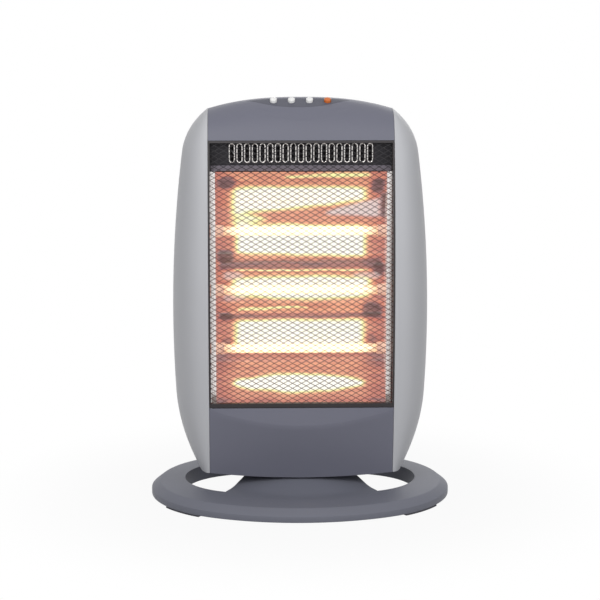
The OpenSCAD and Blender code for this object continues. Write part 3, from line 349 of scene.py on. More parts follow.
# Rolling lines run along the sheet, 0.9 mm apart here and much finer on the real one
along = add(tree, "ShaderNodeMapping", {"Vector": place, "Scale": (0.02, 1, 1)})
rolled = add(tree, "ShaderNodeTexNoise", {"Vector": along, "Scale": 1 / (0.9 * MM)})
dents = add(tree, "ShaderNodeTexNoise", {"Vector": place, "Scale": 1 / (26 * MM)})
wobble = add(tree, "ShaderNodeVectorMath", {0: dents.outputs["Color"], 1: (0.5, 0.5, 0.5)},
             operation="SUBTRACT")
shift = add(tree, "ShaderNodeVectorMath", {0: wobble, "Scale": 4 * MM}, operation="SCALE")
bent = add(tree, "ShaderNodeVectorMath", {0: place, 1: shift})
axes = add(tree, "ShaderNodeSeparateXYZ", {0: bent})
x, z = axes.outputs["X"], axes.outputs["Z"]
end = add(tree, "ShaderNodeMath", {0: x}, operation="ABSOLUTE")
field = add(tree, "ShaderNodeMapRange", {"Value": end, "From Min": 0.06, "From Max": 0.094,
                                         "To Min": 0.37, "To Max": 0.25}, interpolation_type="SMOOTHSTEP")
# Long faint streaks in the painted glow, 4 mm apart, where the rolled sheet isn't quite flat
painted_streak_glow = 0.34
drawn = add(tree, "ShaderNodeMapping", {"Vector": bent, "Scale": (0.12, 1, 1)})
streaks = add(tree, "ShaderNodeTexNoise", {"Vector": drawn, "Scale": 1 / (4 * MM), "Detail": 3.0})
total = add(tree, "ShaderNodeMath", {0: streaks, 1: painted_streak_glow, 2: field}, operation="MULTIPLY_ADD")
total = add(tree, "ShaderNodeMath", {0: total, 1: painted_streak_glow / 2}, operation="SUBTRACT")
for numbers in bands + shadows:
    total = add(tree, "ShaderNodeMath", {0: total, 1: painted_band_light(tree, x, z, *numbers)})
glow = add(tree, "ShaderNodeValToRGB", {0: total})
ramp = glow.color_ramp.elements
ramp[0].position, ramp[0].color = 0.0, srgb("#5a4648")
ramp[1].position, ramp[1].color = 1.0, srgb("#fffff6")
for at, code in ((0.14, "#8a666a"), (0.27, "#c4786a"), (0.42, "#e8a284"), (0.56, "#f4cc98"),
                 (0.72, "#f8f4ac"), (0.9, "#fffde6")):
    ramp.new(at).color = srgb(code)
for numbers in mirrored:
    glow = add(tree, "ShaderNodeMix", {0: painted_band_light(tree, x, z, *numbers), 6: glow, 7: srgb("#dcd2d2")},
               data_type="RGBA")
# Only the front sees the tubes and gets the painted glow: its back, towards +y, stays plain metal
facing = add(tree, "ShaderNodeSeparateXYZ", {0: place.node.outputs["Normal"]})
front = add(tree, "ShaderNodeMapRange", {"Value": facing.outputs["Y"], "From Min": 0.1, "From Max": 0.2,
                                         "To Min": 1.0, "To Max": 0.0})
sheen = add(tree, "ShaderNodeMapRange", {"Value": rolled, "To Min": 0.2, "To Max": 0.38})
bump = add(tree, "ShaderNodeBump", {"Height": rolled, "Distance": 0.02 * MM})
skin = add(tree, "ShaderNodeBsdfPrincipled", {
    "Base Color": srgb("#5e5650"), "Metallic": 1.0, "Roughness": sheen, "Normal": bump,
    "Emission Color": glow, "Emission Strength": front})
add(tree, "ShaderNodeOutputMaterial", {"Surface": skin})
print("nodes in the lit sheet:", len(tree.nodes))

# %% [markdown]
# ## The bright sheet
# The flanges at the sides of the reflector are of the same aluminium. They only mirror the room, so they
# need no painted bands, just the rolling lines and a faint painted glow. The beads round the vent's slots
# get this finish too, as painted highlights.

# %% The bright sheet
bright_metal, tree, place = new_finish("bright_rolled_aluminium")
along = add(tree, "ShaderNodeMapping", {"Vector": place, "Scale": (1, 1, 0.02)})
rolled = add(tree, "ShaderNodeTexNoise", {"Vector": along, "Scale": 1 / (0.9 * MM)})
sheen = add(tree, "ShaderNodeMapRange", {"Value": rolled, "To Min": 0.16, "To Max": 0.34})
tint = add(tree, "ShaderNodeMix", {0: rolled, 6: srgb("#e6e2e0"), 7: srgb("#fbfafa")}, data_type="RGBA")
# The faint emission is a painted glow, the warm light of the tubes on the metal
skin = add(tree, "ShaderNodeBsdfPrincipled", {"Base Color": tint, "Metallic": 1.0, "Roughness": sheen,
                                              "Emission Color": srgb("#fff4ec"), "Emission Strength": 0.16})
add(tree, "ShaderNodeOutputMaterial", {"Surface": skin})
print("finish of flanges and rims:", bright_metal.name)

# %% [markdown]
# ## Quartz and hot wire
# The tubes are clear fused quartz round a coil of tungsten. A lit coil is far brighter than the picture's
# white, and its light spreads in the wall of the tube, so the wall glows too. Both grow dark near the
# ends, where the wire is a straight lead.

# %% Quartz and hot wire
quartz, tree, place = new_finish("fused_quartz")
drawn = add(tree, "ShaderNodeMapping", {"Vector": place, "Scale": (0.05, 1, 1)})
streak = add(tree, "ShaderNodeTexNoise", {"Vector": drawn, "Scale": 1 / (1.5 * MM)})
axes = add(tree, "ShaderNodeSeparateXYZ", {0: place})
end = add(tree, "ShaderNodeMath", {0: axes.outputs["X"]}, operation="ABSOLUTE")
core = add(tree, "ShaderNodeMapRange", {"Value": end, "From Min": 0.062, "From Max": 0.08,
                                        "To Min": 1.0, "To Max": 0.25}, interpolation_type="SMOOTHSTEP")
shine = add(tree, "ShaderNodeMix", {0: core, 6: srgb("#7a3a20"), 7: srgb("#ffeebc")}, data_type="RGBA")
clear = add(tree, "ShaderNodeMapRange", {"Value": streak, "To Min": 0.04, "To Max": 0.12})
skin = add(tree, "ShaderNodeBsdfPrincipled", {
    "Base Color": srgb("#fff4e2"), "Roughness": clear, "IOR": 1.46, "Alpha": 0.45,
    "Emission Color": shine, "Emission Strength": 1.0})
add(tree, "ShaderNodeOutputMaterial", {"Surface": skin})

hot_wire, tree, place = new_finish("glowing_tungsten")
axes = add(tree, "ShaderNodeSeparateXYZ", {0: place})
end = add(tree, "ShaderNodeMath", {0: axes.outputs["X"]}, operation="ABSOLUTE")
core = add(tree, "ShaderNodeMapRange", {"Value": end, "From Min": 0.074, "From Max": 0.082})
shine = add(tree, "ShaderNodeMix", {0: core, 6: srgb("#fff6d8"), 7: srgb("#3a1408")}, data_type="RGBA")
skin = add(tree, "ShaderNodeBsdfPrincipled", {"Base Color": srgb("#8a8c90"), "Metallic": 1.0,
    "Roughness": 0.4, "Emission Color": shine, "Emission Strength": 3.0})
add(tree, "ShaderNodeOutputMaterial", {"Surface": skin})
print("glowing finishes:", quartz.name, hot_wire.name)

# %% [markdown]
# ## Ceramic and braid
# The caps that hold the tubes are pressed steatite, an unglazed and slightly grainy ceramic. The tubes
# light them from so near that a faint red glow is laid in. The wires inside run in sleeves braided of
# glass fibre, which stand the heat. Real strands are under 1 mm wide. Here one slanting set of them is
# drawn about 2 mm wide, so that it shows.

# %% Ceramic and braid
steatite, tree, place = new_finish("unglazed_steatite")
pressed = add(tree, "ShaderNodeTexNoise", {"Vector": place, "Scale": 1 / (0.7 * MM), "Detail": 3.0})
bump = add(tree, "ShaderNodeBump", {"Height": pressed, "Distance": 0.03 * MM})
tint = add(tree, "ShaderNodeMix", {0: pressed, 6: srgb("#cfc7b6"), 7: srgb("#e6dfd2")}, data_type="RGBA")
skin = add(tree, "ShaderNodeBsdfPrincipled", {"Base Color": tint, "Roughness": 0.78, "Normal": bump,
                                              "Emission Color": srgb("#d07a60"), "Emission Strength": 0.6})
add(tree, "ShaderNodeOutputMaterial", {"Surface": skin})

sleeve, tree, place = new_finish("braided_glass_sleeve")
braid = add(tree, "ShaderNodeTexWave", {"Vector": place, "Scale": 1 / (6 * MM)},
            bands_direction="DIAGONAL").outputs["Fac"]
bump = add(tree, "ShaderNodeBump", {"Height": braid, "Distance": 0.1 * MM})
tint = add(tree, "ShaderNodeMix", {0: braid, 6: srgb("#8e3226"), 7: srgb("#b8483a")}, data_type="RGBA")
skin = add(tree, "ShaderNodeBsdfPrincipled", {"Base Color": tint, "Roughness": 0.7, "Normal": bump})
add(tree, "ShaderNodeOutputMaterial", {"Surface": skin})
print("dull finishes:", steatite.name, sleeve.name)

# %% [markdown]
# ## The rules of the body's shape
# The body is drawn by a few long arcs, as in the part's source: one for the front, one for the back and
# one for each side. Above the guard a dome closes it. The same rules are repeated here in millimetres, so
# that a finer mesh lies exactly where the CAD mesh lay.

# %% The rules of the body's shape
half_w, half_panel, seam, wall = 278.4 / 2, 199 / 2, 0.3, 2.4
body_top, body_bottom, shell_bottom, waist_z = 440, 30, 36, 205
front_y, back_y, front_r, back_r, side_r = 76, 56, 700, 1500, 1400
opening_bottom, opening_top, shoulder_z, hip_z, hip_r = 111, 397, 382, 120, 211
crown_drop, crest_y, dome_power, plan_power, chin, chin_drop = 12.4, -4, 2.6, 2.2, 5, 18
strip_tilt, strip_front, strip_z = math.radians(26), 31, 430.4
inner_x, dome_h = half_panel - seam, body_top - opening_top

def arc(off, radius):
    return radius - math.sqrt(radius ** 2 - off ** 2)
shoulder_rise = body_top - crown_drop - shoulder_z
shoulder_in = half_w - arc(body_top - crown_drop - waist_z, side_r) - half_panel - 0.6
shoulder_r = (shoulder_rise ** 2 + shoulder_in ** 2) / (2 * shoulder_in)

def front_at(z, t=0):
    return -front_y + t + arc(z - waist_z, front_r - t)

def back_at(z, t=0):
    return back_y - t - arc(z - waist_z, back_r - t)

def dome(s, t=0):
    u = max(0, min(1, (s - opening_top) / (dome_h - t)))
    return 1 - (1 - u ** dome_power) ** (1 / dome_power)

def dome_level(turn, t=0):
    return opening_top + (dome_h - t) * math.sin(turn) ** (2 / dome_power)

def face_at(s, back, t=0):
    edge = back_at if back else front_at
    return edge(s, t) + (crest_y - edge(body_top - t, t)) * dome(s, t)

def fall(s, x):
    if s <= opening_top:
        return 0
    return crown_drop * (min(abs(x), half_panel) / half_panel) ** 2.5 * ((s - opening_top) / dome_h) ** 2

def side_w(z, t=0):
    drawn_in = arc(z - waist_z, side_r)
    drawn_in += arc(z - shoulder_z, shoulder_r) if z > shoulder_z else 0
    return half_w - t - drawn_in - (arc(hip_z - z, hip_r) if z < hip_z else 0)
print("half width at the waist and at the shoulder:", side_w(waist_z), round(side_w(shoulder_z), 1))

# %% [markdown]
# ## From rows of points to a wall
# Each moulding is a thin wall. It is made from a grid of outer points and a grid of inner points, joined
# along their rims, so it is a closed solid. A small bevel rounds its edges, as the tool's own edges do.

# %% From rows of points to a wall
def shade(made, smooth):
    """Smooth shading, with sharp edges where the faces turn by more than smooth degrees."""
    made.data.shade_smooth()
    made.data.set_sharp_from_angle(angle=math.radians(smooth))

def finish_mesh(made, smooth=40):
    """Merges doubles, points the faces outwards and shades."""
    solid = bmesh.new()
    solid.from_mesh(made.data)
    bmesh.ops.remove_doubles(solid, verts=solid.verts, dist=0.002 * MM)
    bmesh.ops.recalc_face_normals(solid, faces=solid.faces)
    solid.to_mesh(made.data)
    solid.free()
    shade(made, smooth)

def points_piece(name, points, finish, faces=()):
    """Points in mm, for a tree to put something on, or with the faces that join them."""
    mesh = bpy.data.meshes.new(name)
    mesh.from_pydata([tuple(c * MM for c in p) for p in points], [], faces)
    mesh.materials.append(finish)
    return new_object(name, mesh)

def new_piece(name, points, faces, finish, edge=0.0):
    """A solid at the origin, its points given in mm, with its edges rounded by edge mm."""
    made = points_piece(name, points, finish, faces)
    finish_mesh(made)
    if edge:
        rounding = made.modifiers.new("rounded_edges", "BEVEL")
        rounding.width, rounding.segments, rounding.limit_method = edge * MM, 2, "ANGLE"
        rounding.angle_limit, rounding.harden_normals = math.radians(40), True
    return made

def wall_of(name, point, rows, columns, finish, edge=0.35, flip=1, depths=(0, wall)):
    """A closed wall through point(row, column, depth), outer grid first; flip=-1 mirrors it."""
    points = [point(row, column, depth) for depth in depths for row in rows for column in columns]
    m, n = len(rows), len(columns)
    size, faces = m * n, []
    for r in range(m - 1):
        for a in range(r * n, r * n + n - 1):
            b = a + n
            faces += [(a, b, b + 1, a + 1), (a + size, a + 1 + size, b + 1 + size, b + size)]
    rim = list(range(n)) + [r * n + n - 1 for r in range(1, m)]
    rim += list(range(size - 2, size - n - 1, -1)) + [r * n for r in range(m - 2, 0, -1)]
    faces += [(a, b, b + size, a + size) for a, b in zip(rim, rim[1:] + rim[:1])]
    return new_piece(name, [(flip * x, y, z) for x, y, z in points], faces, finish, edge)

def steps(start, end, count):
    return [start + (end - start) * k / count for k in range(count + 1)]
print("steps from 0 to 1:", steps(0, 1, 4))

# %% [markdown]
# ## Side shells
# Each side is one deep moulding that wraps from the front seam round to the back one. Its plan is a
# superellipse, a little squarer than an ellipse, and it closes over the shoulder into the crown. The left
# one is the right one mirrored.

# %% Side shells
def side_point(level, turn, t):
    s = level(t)
    z = s - fall(s, half_panel)
    w = max(side_w(z, t), half_panel + 0.2)
    reach = face_at(s, turn > 0, t) - crest_y
    return (half_panel + (w - half_panel) * math.cos(turn) ** (2 / plan_power),
            crest_y + reach * abs(math.sin(turn)) ** (2 / plan_power), z)

turns = steps(-math.pi / 2, math.pi / 2, 56)
turns[0], turns[-1] = -math.pi / 2 + 1e-6, math.pi / 2 - 1e-6
# Below the dome a level is a height; above, it is a turn of the dome, whose height depends on the depth
levels = [lambda t, s=s: s for s in steps(shell_bottom, opening_top, 60)]
levels += [lambda t, a=a: dome_level(a, t) for a in steps(0, math.radians(84), 24)[1:]]
shells = []
for side, flip in (("right", 1), ("left", -1)):
    shell = wall_of("silver_side_" + side, side_point, levels, turns, silver_abs, flip=flip)
    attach(shell, heater)
    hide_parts("side_shell_" + side)
    shells.append(shell)
print("side shells:", [(s.name, len(s.data.polygons)) for s in shells])

# %% [markdown]
# ## Top cover
# The crown spans the two seams in one curve from the guard to the back, cut flat at a slant in front for
# the strip of buttons. Where the slant meets the dome, the smaller height is taken with a short blend,
# which leaves the soft edge that a moulding has there. Under the strip a shallow dish gives a fingertip
# room, and its lower edge is a smile.

# %% Top cover
dish_half, dish_depth, dish_h = 54, 0.7, 13

def softer_min(a, b, blend=1.6):
    near = max(blend - abs(a - b), 0) / blend
    return min(a, b) - near * near * blend / 4

def finger_dish(x, z):
    """Depth of the dish at a point of the front."""
    arch = 1 - (x / dish_half) ** 2
    share = (z - strip_z + dish_h * max(arch, 0)) / (dish_h * arch) if arch > 0 else -1
    return dish_depth * min(arch * 3, 1) * math.sin(math.pi * share) if 0 < share < 1 else 0

def cover_point(place, x, t):
    turn, back = place
    s = dome_level(turn, t)
    y = face_at(s, back, t)
    z = s - fall(s, x)
    y += finger_dish(x, z) if t == 0 and not back else 0
    slant = strip_z + (y + strip_front) * math.tan(strip_tilt) - t / math.cos(strip_tilt)
    return (x, y, z if back else softer_min(z, slant))

across = steps(-inner_x, inner_x, 90)
over_top = [(turn, False) for turn in steps(0, math.pi / 2, 80)]
over_top += [(turn, True) for turn in steps(math.pi / 2, 0, 60)[1:]]
cover = wall_of("slate_top_cover", cover_point, over_top, across, slate_abs, edge=0)
print("top cover faces:", len(cover.data.polygons))

# %% [markdown]
# ## Crescent of painted shade
# A thin crescent of a darker grey, painted shade, is laid round the buttons, its lower edge a shallow
# smile.
# It is a wall of its own, which follows the cover and stands a tenth of a millimetre proud of it.

# %% Crescent of painted shade
crescent_left, crescent_right, crescent_end, crescent_middle, crescent_power = -58, 53, -13, -29.6, 2.4

def turn_at(y):
    """The turn at which the front of the dome stands at y, found by halving."""
    low, high = 0.0, math.pi / 2
    for _ in range(30):
        half = (low + high) / 2
        low, high = (half, high) if face_at(dome_level(half, 0), False, 0) < y else (low, half)
    return low

def crescent_point(share, x, t):
    along = (2 * x - crescent_left - crescent_right) / (crescent_right - crescent_left)
    front = crescent_end + (crescent_middle - crescent_end) * (1 - abs(along) ** crescent_power)
    return cover_point((turn_at(front + share * (crescent_end + 0.6 - front)), False), x, t)
# The crescent's darker grey is painted shade round the buttons
shade_crescent = wall_of("painted_shade_crescent", crescent_point, steps(0, 1, 14), steps(crescent_left, crescent_right, 60),
                shaded_strip_abs, edge=0, depths=(-0.12, 0.1))
print("inlay faces:", len(shade_crescent.data.polygons))

# %% [markdown]
# ## Lower panel
# Under the guard the front swells into a chin. Its crease hangs lowest in the middle, so the rows of
# points follow the crease instead of running level: half of them lie below it and half above.

# %% Lower panel
def crease_at(x):
    return opening_bottom - chin_drop * (1 - (x / half_panel) ** 2) - 2

def panel_point(share, x, t):
    middle, crease, top = 1 - (x / half_panel) ** 2, crease_at(x), opening_bottom - seam
    if share < 0.5:
        s = body_bottom + 2 * share * (crease - body_bottom)
    else:
        s = crease + (2 * share - 1) * (top - crease)
    swell = chin * middle * ((opening_bottom - s) / (opening_bottom - crease) if s > crease
                             else (s - body_bottom) / (crease - body_bottom))
    rise = (shell_bottom - body_bottom) * (x / half_panel) ** 2
    z = s + rise * (opening_bottom - s) / (opening_bottom - body_bottom)
    return (x, front_at(z, t) - swell, z)

panel = wall_of("slate_lower_panel", panel_point, steps(0, 1, 24), across, slate_abs, edge=0.6)
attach(panel, heater)
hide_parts("lower_panel")
print("lower panel faces:", len(panel.data.polygons), "crease at the middle:", crease_at(0), "mm")

# %% [markdown]
# ## Geometry Nodes helpers
# What repeats is made by a tree of Geometry Nodes, built here in the script. One function opens a tree
# with named inputs, and one closes it. Another runs the tree on a mesh: it sets the inputs, lets Blender
# evaluate the result and keeps that as a plain mesh, so nothing live is left on the piece.

# %% Geometry Nodes helpers
def new_tree(name, sizes, counts=""):
    """A tree with an input for each named size and count; returns it and what it is given."""
    tree = bpy.data.node_groups.new(name, "GeometryNodeTree")
    tree.interface.new_socket("Geometry", in_out="OUTPUT", socket_type="NodeSocketGeometry")
    labels = [("Geometry", "Geometry")] + [(count, "Int") for count in counts.split()]
    labels += [(size, "Float") for size in sizes.split()] + [("Finish", "Material")]
    for label, kind in labels:
        tree.interface.new_socket(label, in_out="INPUT", socket_type="NodeSocket" + kind)
    return tree, add(tree, "NodeGroupInput").outputs

def close_tree(tree, given, shape):
    """Real geometry, because the export drops instances, with its material, goes to the output."""
    plain = add(tree, "GeometryNodeRealizeInstances", {0: shape})
    clad = add(tree, "GeometryNodeSetMaterial", {0: plain, "Material": given["Finish"]})
    add(tree, "NodeGroupOutput", {0: clad})

def keep_result(made, live):
    """Lets Blender work a modifier out, keeps the result as a plain mesh and removes the modifier."""
    made.update_tag()
    seen = bpy.context.evaluated_depsgraph_get()
    seen.update()
    result = bpy.data.meshes.new_from_object(made.evaluated_get(seen), depsgraph=seen)
    made.modifiers.remove(live)
    made.data = result

def run_tree(made, tree, smooth=40, mm=None, **inputs):
    """Runs a tree on a piece, whose finish it keeps; the lengths in mm come in a dictionary."""
    inputs.update({label: length * MM for label, length in (mm or {}).items()})
    inputs["Finish"] = made.data.materials[0]
    live = made.modifiers.new(tree.name, "NODES")
    live.node_group = tree
    for item in tree.interface.items_tree:
        if item.in_out == "INPUT" and item.name in inputs:
            live[item.identifier] = inputs[item.name]
    keep_result(made, live)
    shade(made, smooth)
    print(f"{made.name}: {len(made.data.polygons)} faces from {tree.name}")
    return made

def carve(made, tool, how="DIFFERENCE"):
    """Takes the tool away from a piece, or joins it on, and removes the tool."""
    live = made.modifiers.new("carve", "BOOLEAN")
    live.object, live.solver, live.operation = tool, "EXACT", how
    keep_result(made, live)
    bpy.data.objects.remove(tool)
    return made
print("helpers: new_tree, close_tree, keep_result, run_tree, carve")

# %% [markdown]
# ## Slots and holes
# The back cover is moulded and the vent is punched, and both have rows of slots. One tree cuts both: it
# sweeps a rounded rectangle along a line to get one punch, puts the punch on a grid of points, and takes
# the grid away from the sheet with a Boolean, which leaves clean walls in each slot.

# %% Slots and holes
def slot_outline(tree, given):
    """A rectangle with rounded corners, as wide and high as the tree is given."""
    shape = add(tree, "GeometryNodeCurvePrimitiveQuadrilateral", {"Width": given["width"],
                                                                  "Height": given["height"]})
    return add(tree, "GeometryNodeFilletCurve", {0: shape, "Radius": given["corner"], "Limit Radius": True,
                                                 "Count": 7}, mode="POLY")

punch, given = new_tree("punch_a_grid_of_slots", "pitch_x pitch_z first_x first_z width height corner "
                        "start_y depth", counts="columns rows")
tip = add(punch, "ShaderNodeCombineXYZ", {"Y": given["depth"]})
path = add(punch, "GeometryNodeCurvePrimitiveLine", {"End": tip})
tool = add(punch, "GeometryNodeCurveToMesh", {"Curve": path, "Profile Curve": slot_outline(punch, given),
                                              "Fill Caps": True})
step_x = add(punch, "ShaderNodeCombineXYZ", {"X": given["pitch_x"]})
step_z = add(punch, "ShaderNodeCombineXYZ", {"Z": given["pitch_z"]})
first = add(punch, "ShaderNodeCombineXYZ", {"X": given["first_x"], "Y": given["start_y"],
                                            "Z": given["first_z"]})
row = add(punch, "GeometryNodeMeshLine", {"Count": given["columns"], "Start Location": first,
                                          "Offset": step_x})
rows_up = add(punch, "GeometryNodeMeshLine", {"Count": given["rows"], "Offset": step_z})
tools_up = add(punch, "GeometryNodeInstanceOnPoints", {"Points": rows_up, "Instance": tool})
tools = add(punch, "GeometryNodeInstanceOnPoints", {"Points": row, "Instance": tools_up})
plain = add(punch, "GeometryNodeRealizeInstances", {0: tools})
cut = add(punch, "GeometryNodeMeshBoolean", {"Mesh 1": given["Geometry"], "Mesh 2": plain},
          operation="DIFFERENCE", solver="EXACT")
close_tree(punch, given, cut)

def punch_slots(made, start_y, size, corner, first, pitch=(1, 1), columns=1, rows=1, depth=30):
    """Sizes in mm, across and up; first is the middle of the lowest and leftmost slot."""
    return run_tree(made, punch, columns=columns, rows=rows, mm=dict(
        pitch_x=pitch[0], pitch_z=pitch[1], first_x=first[0], first_z=first[1], width=size[0],
        height=size[1], corner=corner, start_y=start_y, depth=depth))
print("punch tree nodes:", len(punch.nodes))

# %% [markdown]
# ## Back cover
# The back is a shallow curved sheet with two columns of air slots, the opening of the grip, six deep
# holes, each with a screw at its bottom, and a hole for the lead's gland. The cup of the grip, the posts
# of the screws and the gland are CAD pieces of their own, seen through these openings.

# %% Back cover
inside_back, air_rows = 30, 23
# Size and corner radius of a slot, middle of the first one, pitch, and how many across and up
holes = {"air": ((50, 4), 1.99, (-30, 70), (60, 11), 2, air_rows), "grip": ((96, 27), 0.6, (0, 356)),
         "screws": ((7.4, 7.4), 3.69, (-72, 120), (144, 130), 2, 3), "lead": ((14, 14), 6.99, (76, 62))}
back = wall_of("slate_back_cover", lambda z, x, t: (x, back_at(z, t), z),
               steps(shell_bottom, opening_top - seam, 60), steps(-inner_x, inner_x, 24), slate_abs, edge=0)
for numbers in holes.values():
    punch_slots(back, inside_back, *numbers)
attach(back, heater)
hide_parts("rear_cover")
print("holes in the back:", list(holes), "with", 2 * air_rows, "air slots")

# %% [markdown]
# ## Vent above the reflector
# A black sheet closes the front above the reflector and lets hot air out through a row of upright slots.

# %% Vent above the reflector
def flat(z, x, y):
    return (x, y, z)

low, high = (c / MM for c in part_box("vent_panel"))
vent = wall_of("black_vent_sheet", flat, steps(low.z, high.z, 8), steps(low.x, high.x, 30), panel_enamel,
               edge=0, depths=(low.y, high.y))
vent_slots, vent_pitch, vent_z, slot_w, slot_h, slot_corner = 19, 8.2, 383, 4.4, 19, 2.19
vent_first = -(vent_slots - 1) / 2 * vent_pitch
punch_slots(vent, low.y - 5, (slot_w, slot_h), slot_corner, (vent_first, vent_z), (vent_pitch, 1),
            vent_slots)
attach(vent, heater)
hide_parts("vent_panel")
print("vent slots:", vent_slots, "over", round((vent_slots - 1) * vent_pitch), "mm")

# %% [markdown]
# ## Bright rims of the vent's slots
# Each slot of the vent has a drawn rim of glossy enamel that catches the light. A bead of bright metal
# round
# each slot stands for that highlight: a painted highlight. One tree sweeps a round wire along the outline
# of a slot, a little wider than the slot itself, and repeats it over the row.

# %% Bright rims of the vent's slots
rims, given = new_tree("drawn_slot_rims", "pitch first_x level front width height corner bead", "count")
upright = add(rims, "GeometryNodeTransform", {0: slot_outline(rims, given),
                                              "Rotation": (math.pi / 2, 0, 0)})
wire = add(rims, "GeometryNodeCurvePrimitiveCircle", {"Resolution": 8, "Radius": given["bead"]})
rim = add(rims, "GeometryNodeCurveToMesh", {"Curve": upright, "Profile Curve": wire})
first = add(rims, "ShaderNodeCombineXYZ", {"X": given["first_x"], "Y": given["front"], "Z": given["level"]})
step = add(rims, "ShaderNodeCombineXYZ", {"X": given["pitch"]})
row = add(rims, "GeometryNodeMeshLine", {"Count": given["count"], "Start Location": first, "Offset": step})
close_tree(rims, given, add(rims, "GeometryNodeInstanceOnPoints", {"Points": row, "Instance": rim}))
rim_out, rim_front, bead = 0.5, 0.15, 0.62
beads = run_tree(points_piece("bright_slot_rims", [(0, 0, 0)], bright_metal), rims, smooth=60,
                 count=vent_slots, mm=dict(pitch=vent_pitch, first_x=vent_first, level=vent_z,
                                           front=low.y - rim_front, width=slot_w + 2 * rim_out, bead=bead,
                                           height=slot_h + 2 * rim_out, corner=slot_corner + rim_out))
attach(beads, heater)
print("faces in one rim:", len(beads.data.polygons) // vent_slots)

# %% [markdown]
# ## Grey strip under the vent
# A thin strip lies along the foot of the vent, in front of it, and hides the gap to the reflector. Its
# grey is painted highlight: the light that the black enamel of this lip catches from above.

# %% Grey strip under the vent
strip_foot, strip_h, strip_end, strip_out, strip_gap = 0.3, 6, 0.5, 1.1, 0.3
lip = wall_of("grey_strip", flat, steps(low.z + strip_foot, low.z + strip_foot + strip_h, 3),
              steps(low.x + strip_end, high.x - strip_end, 2), lip_highlight_enamel, edge=0.2,
              depths=(low.y - strip_out, low.y - strip_gap))
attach(lip, heater)
print("the strip is", strip_h, "mm high and", round(strip_out - strip_gap, 1), "mm thick")

# %% [markdown]
# ## Button holes
# The four holes stand square to the slanted strip. Four punches are put on points, turned with the strip,
# and a Boolean modifier takes them out of the cover and of the crescent of painted shade before these are
# made plain.

# %% Button holes
button_up, button_d, button_h, button_pitch, button_gap, button_travel = 13.5, 7.6, 4.4, 19.4, 0.3, 2.5
buttons_x = [k * button_pitch for k in (-1.5, -0.5, 0.5, 1.5)]
strip_frame = (Matrix.Translation((0, -strip_front + button_up * math.cos(strip_tilt),
                                   strip_z + button_up * math.sin(strip_tilt)))
               @ Matrix.Rotation(strip_tilt, 4, "X"))

wells, given = new_tree("button_punches", "radius tilt")
tool = add(wells, "GeometryNodeMeshCylinder", {"Vertices": 48, "Radius": given["radius"], "Depth": 0.02})
turn = add(wells, "ShaderNodeCombineXYZ", {"X": given["tilt"]})
close_tree(wells, given, add(wells, "GeometryNodeInstanceOnPoints", {
    "Points": given["Geometry"], "Instance": tool, "Rotation": turn}))
middle = strip_frame.to_translation() * MM
spots = [tuple(c / MM for c in middle + Vector((x * MM, 0, 0))) for x in buttons_x]
for made in (cover, shade_crescent):
    carve(made, run_tree(points_piece("button_punches", spots, slate_abs), wells, tilt=strip_tilt,
                         mm=dict(radius=button_d / 2 + button_gap)))
    shade(made, 40)
    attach(made, heater)
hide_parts("top_cover")
print("holes at x =", buttons_x, "cover faces:", len(cover.data.polygons))

# %% [markdown]
# ## Push buttons
# A button is a turned shape: a straight skirt, a small rounded corner and a shallow dome. Its profile is
# spun round its own axis, which stands square to the strip. Each rides on its own body, so it can be
# pressed by itself.

# %% Push buttons
def turned(name, profile, place, finish, segments=48):
    """Spins a profile of (radius, height) points, in mm, about the local Z axis of place."""
    points, faces, n = [], [], len(profile)
    for k in range(segments):
        a, here, there = 2 * math.pi * k / segments, k * n, (k + 1) % segments * n
        points += [tuple(place @ Vector((r * math.cos(a), r * math.sin(a), h))) for r, h in profile]
        faces += [(here + j, there + j, there + j + 1, here + j + 1) for j in range(n - 1)]
    return new_piece(name, points, faces, finish)

radius, rise = button_d / 2, 1.4
ball = (radius ** 2 + rise ** 2) / (2 * rise)
# The stem passes the bracket and ends in the switch bank under it
bracket_z, into_bank, stem_r = -(wall + 6), 0.8 + 0.2 + 3, 2.0
skirt, stem_end = bracket_z + button_travel + 0.5, bracket_z - into_bank
profile = [(0.0, stem_end), (stem_r, stem_end), (stem_r, skirt), (radius - 0.2, skirt),
           (radius, skirt + 0.2), (radius, 0.0), (radius, button_h - rise - 0.25)]
dome_x = [(radius - 0.12) * math.cos(a) for a in steps(0.12, math.pi / 2, 10)]
profile += [(x, button_h - ball + math.sqrt(ball ** 2 - x ** 2)) for x in dome_x[:-1]] + [(0.0, button_h)]
white_look = (white_cap, "white_button")
looks = {"low": white_look, "medium": white_look, "high": white_look,
         "swivel": (orange_cap, "orange_button")}
for (label, (cap, slot_name)), x in zip(looks.items(), buttons_x):
    button = turned("push_button_" + label, profile, strip_frame @ Matrix.Translation((x, 0, 0)), cap)
    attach(button, "button_" + label)
    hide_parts("button_" + label)
print("buttons:", list(looks), "with", len(button.data.polygons), "faces each")

# %% [markdown]
# ## Wire guard: two families of lines
# The guard is a net of crossing steel wires, coated black. One tree makes it. It starts with a row of
# slanting lines of points and their mirror image. The lines start so far to the left that the last one
# still reaches the top left corner, and a later step cuts off what lies beyond the frame.

# %% Wire guard: two families of lines
frame_foot, frame_head, frame_side, frame_inset, fit = 4.4, 2.4, 1.8, 0.8, 0.1
net_w = 2 * (inner_x - frame_side - fit)
net_low, net_high = opening_bottom + seam + frame_foot + fit, opening_top - seam - frame_head - fit
diamonds_x, diamonds_z, wire_d, weave, net_depth = 20, 50, 0.72, 0.45, frame_inset + 2.1
points_a_cell, slack = 4, 0.1 * MM
cell_x, cell_z = net_w / diamonds_x, (net_high - net_low) / diamonds_z

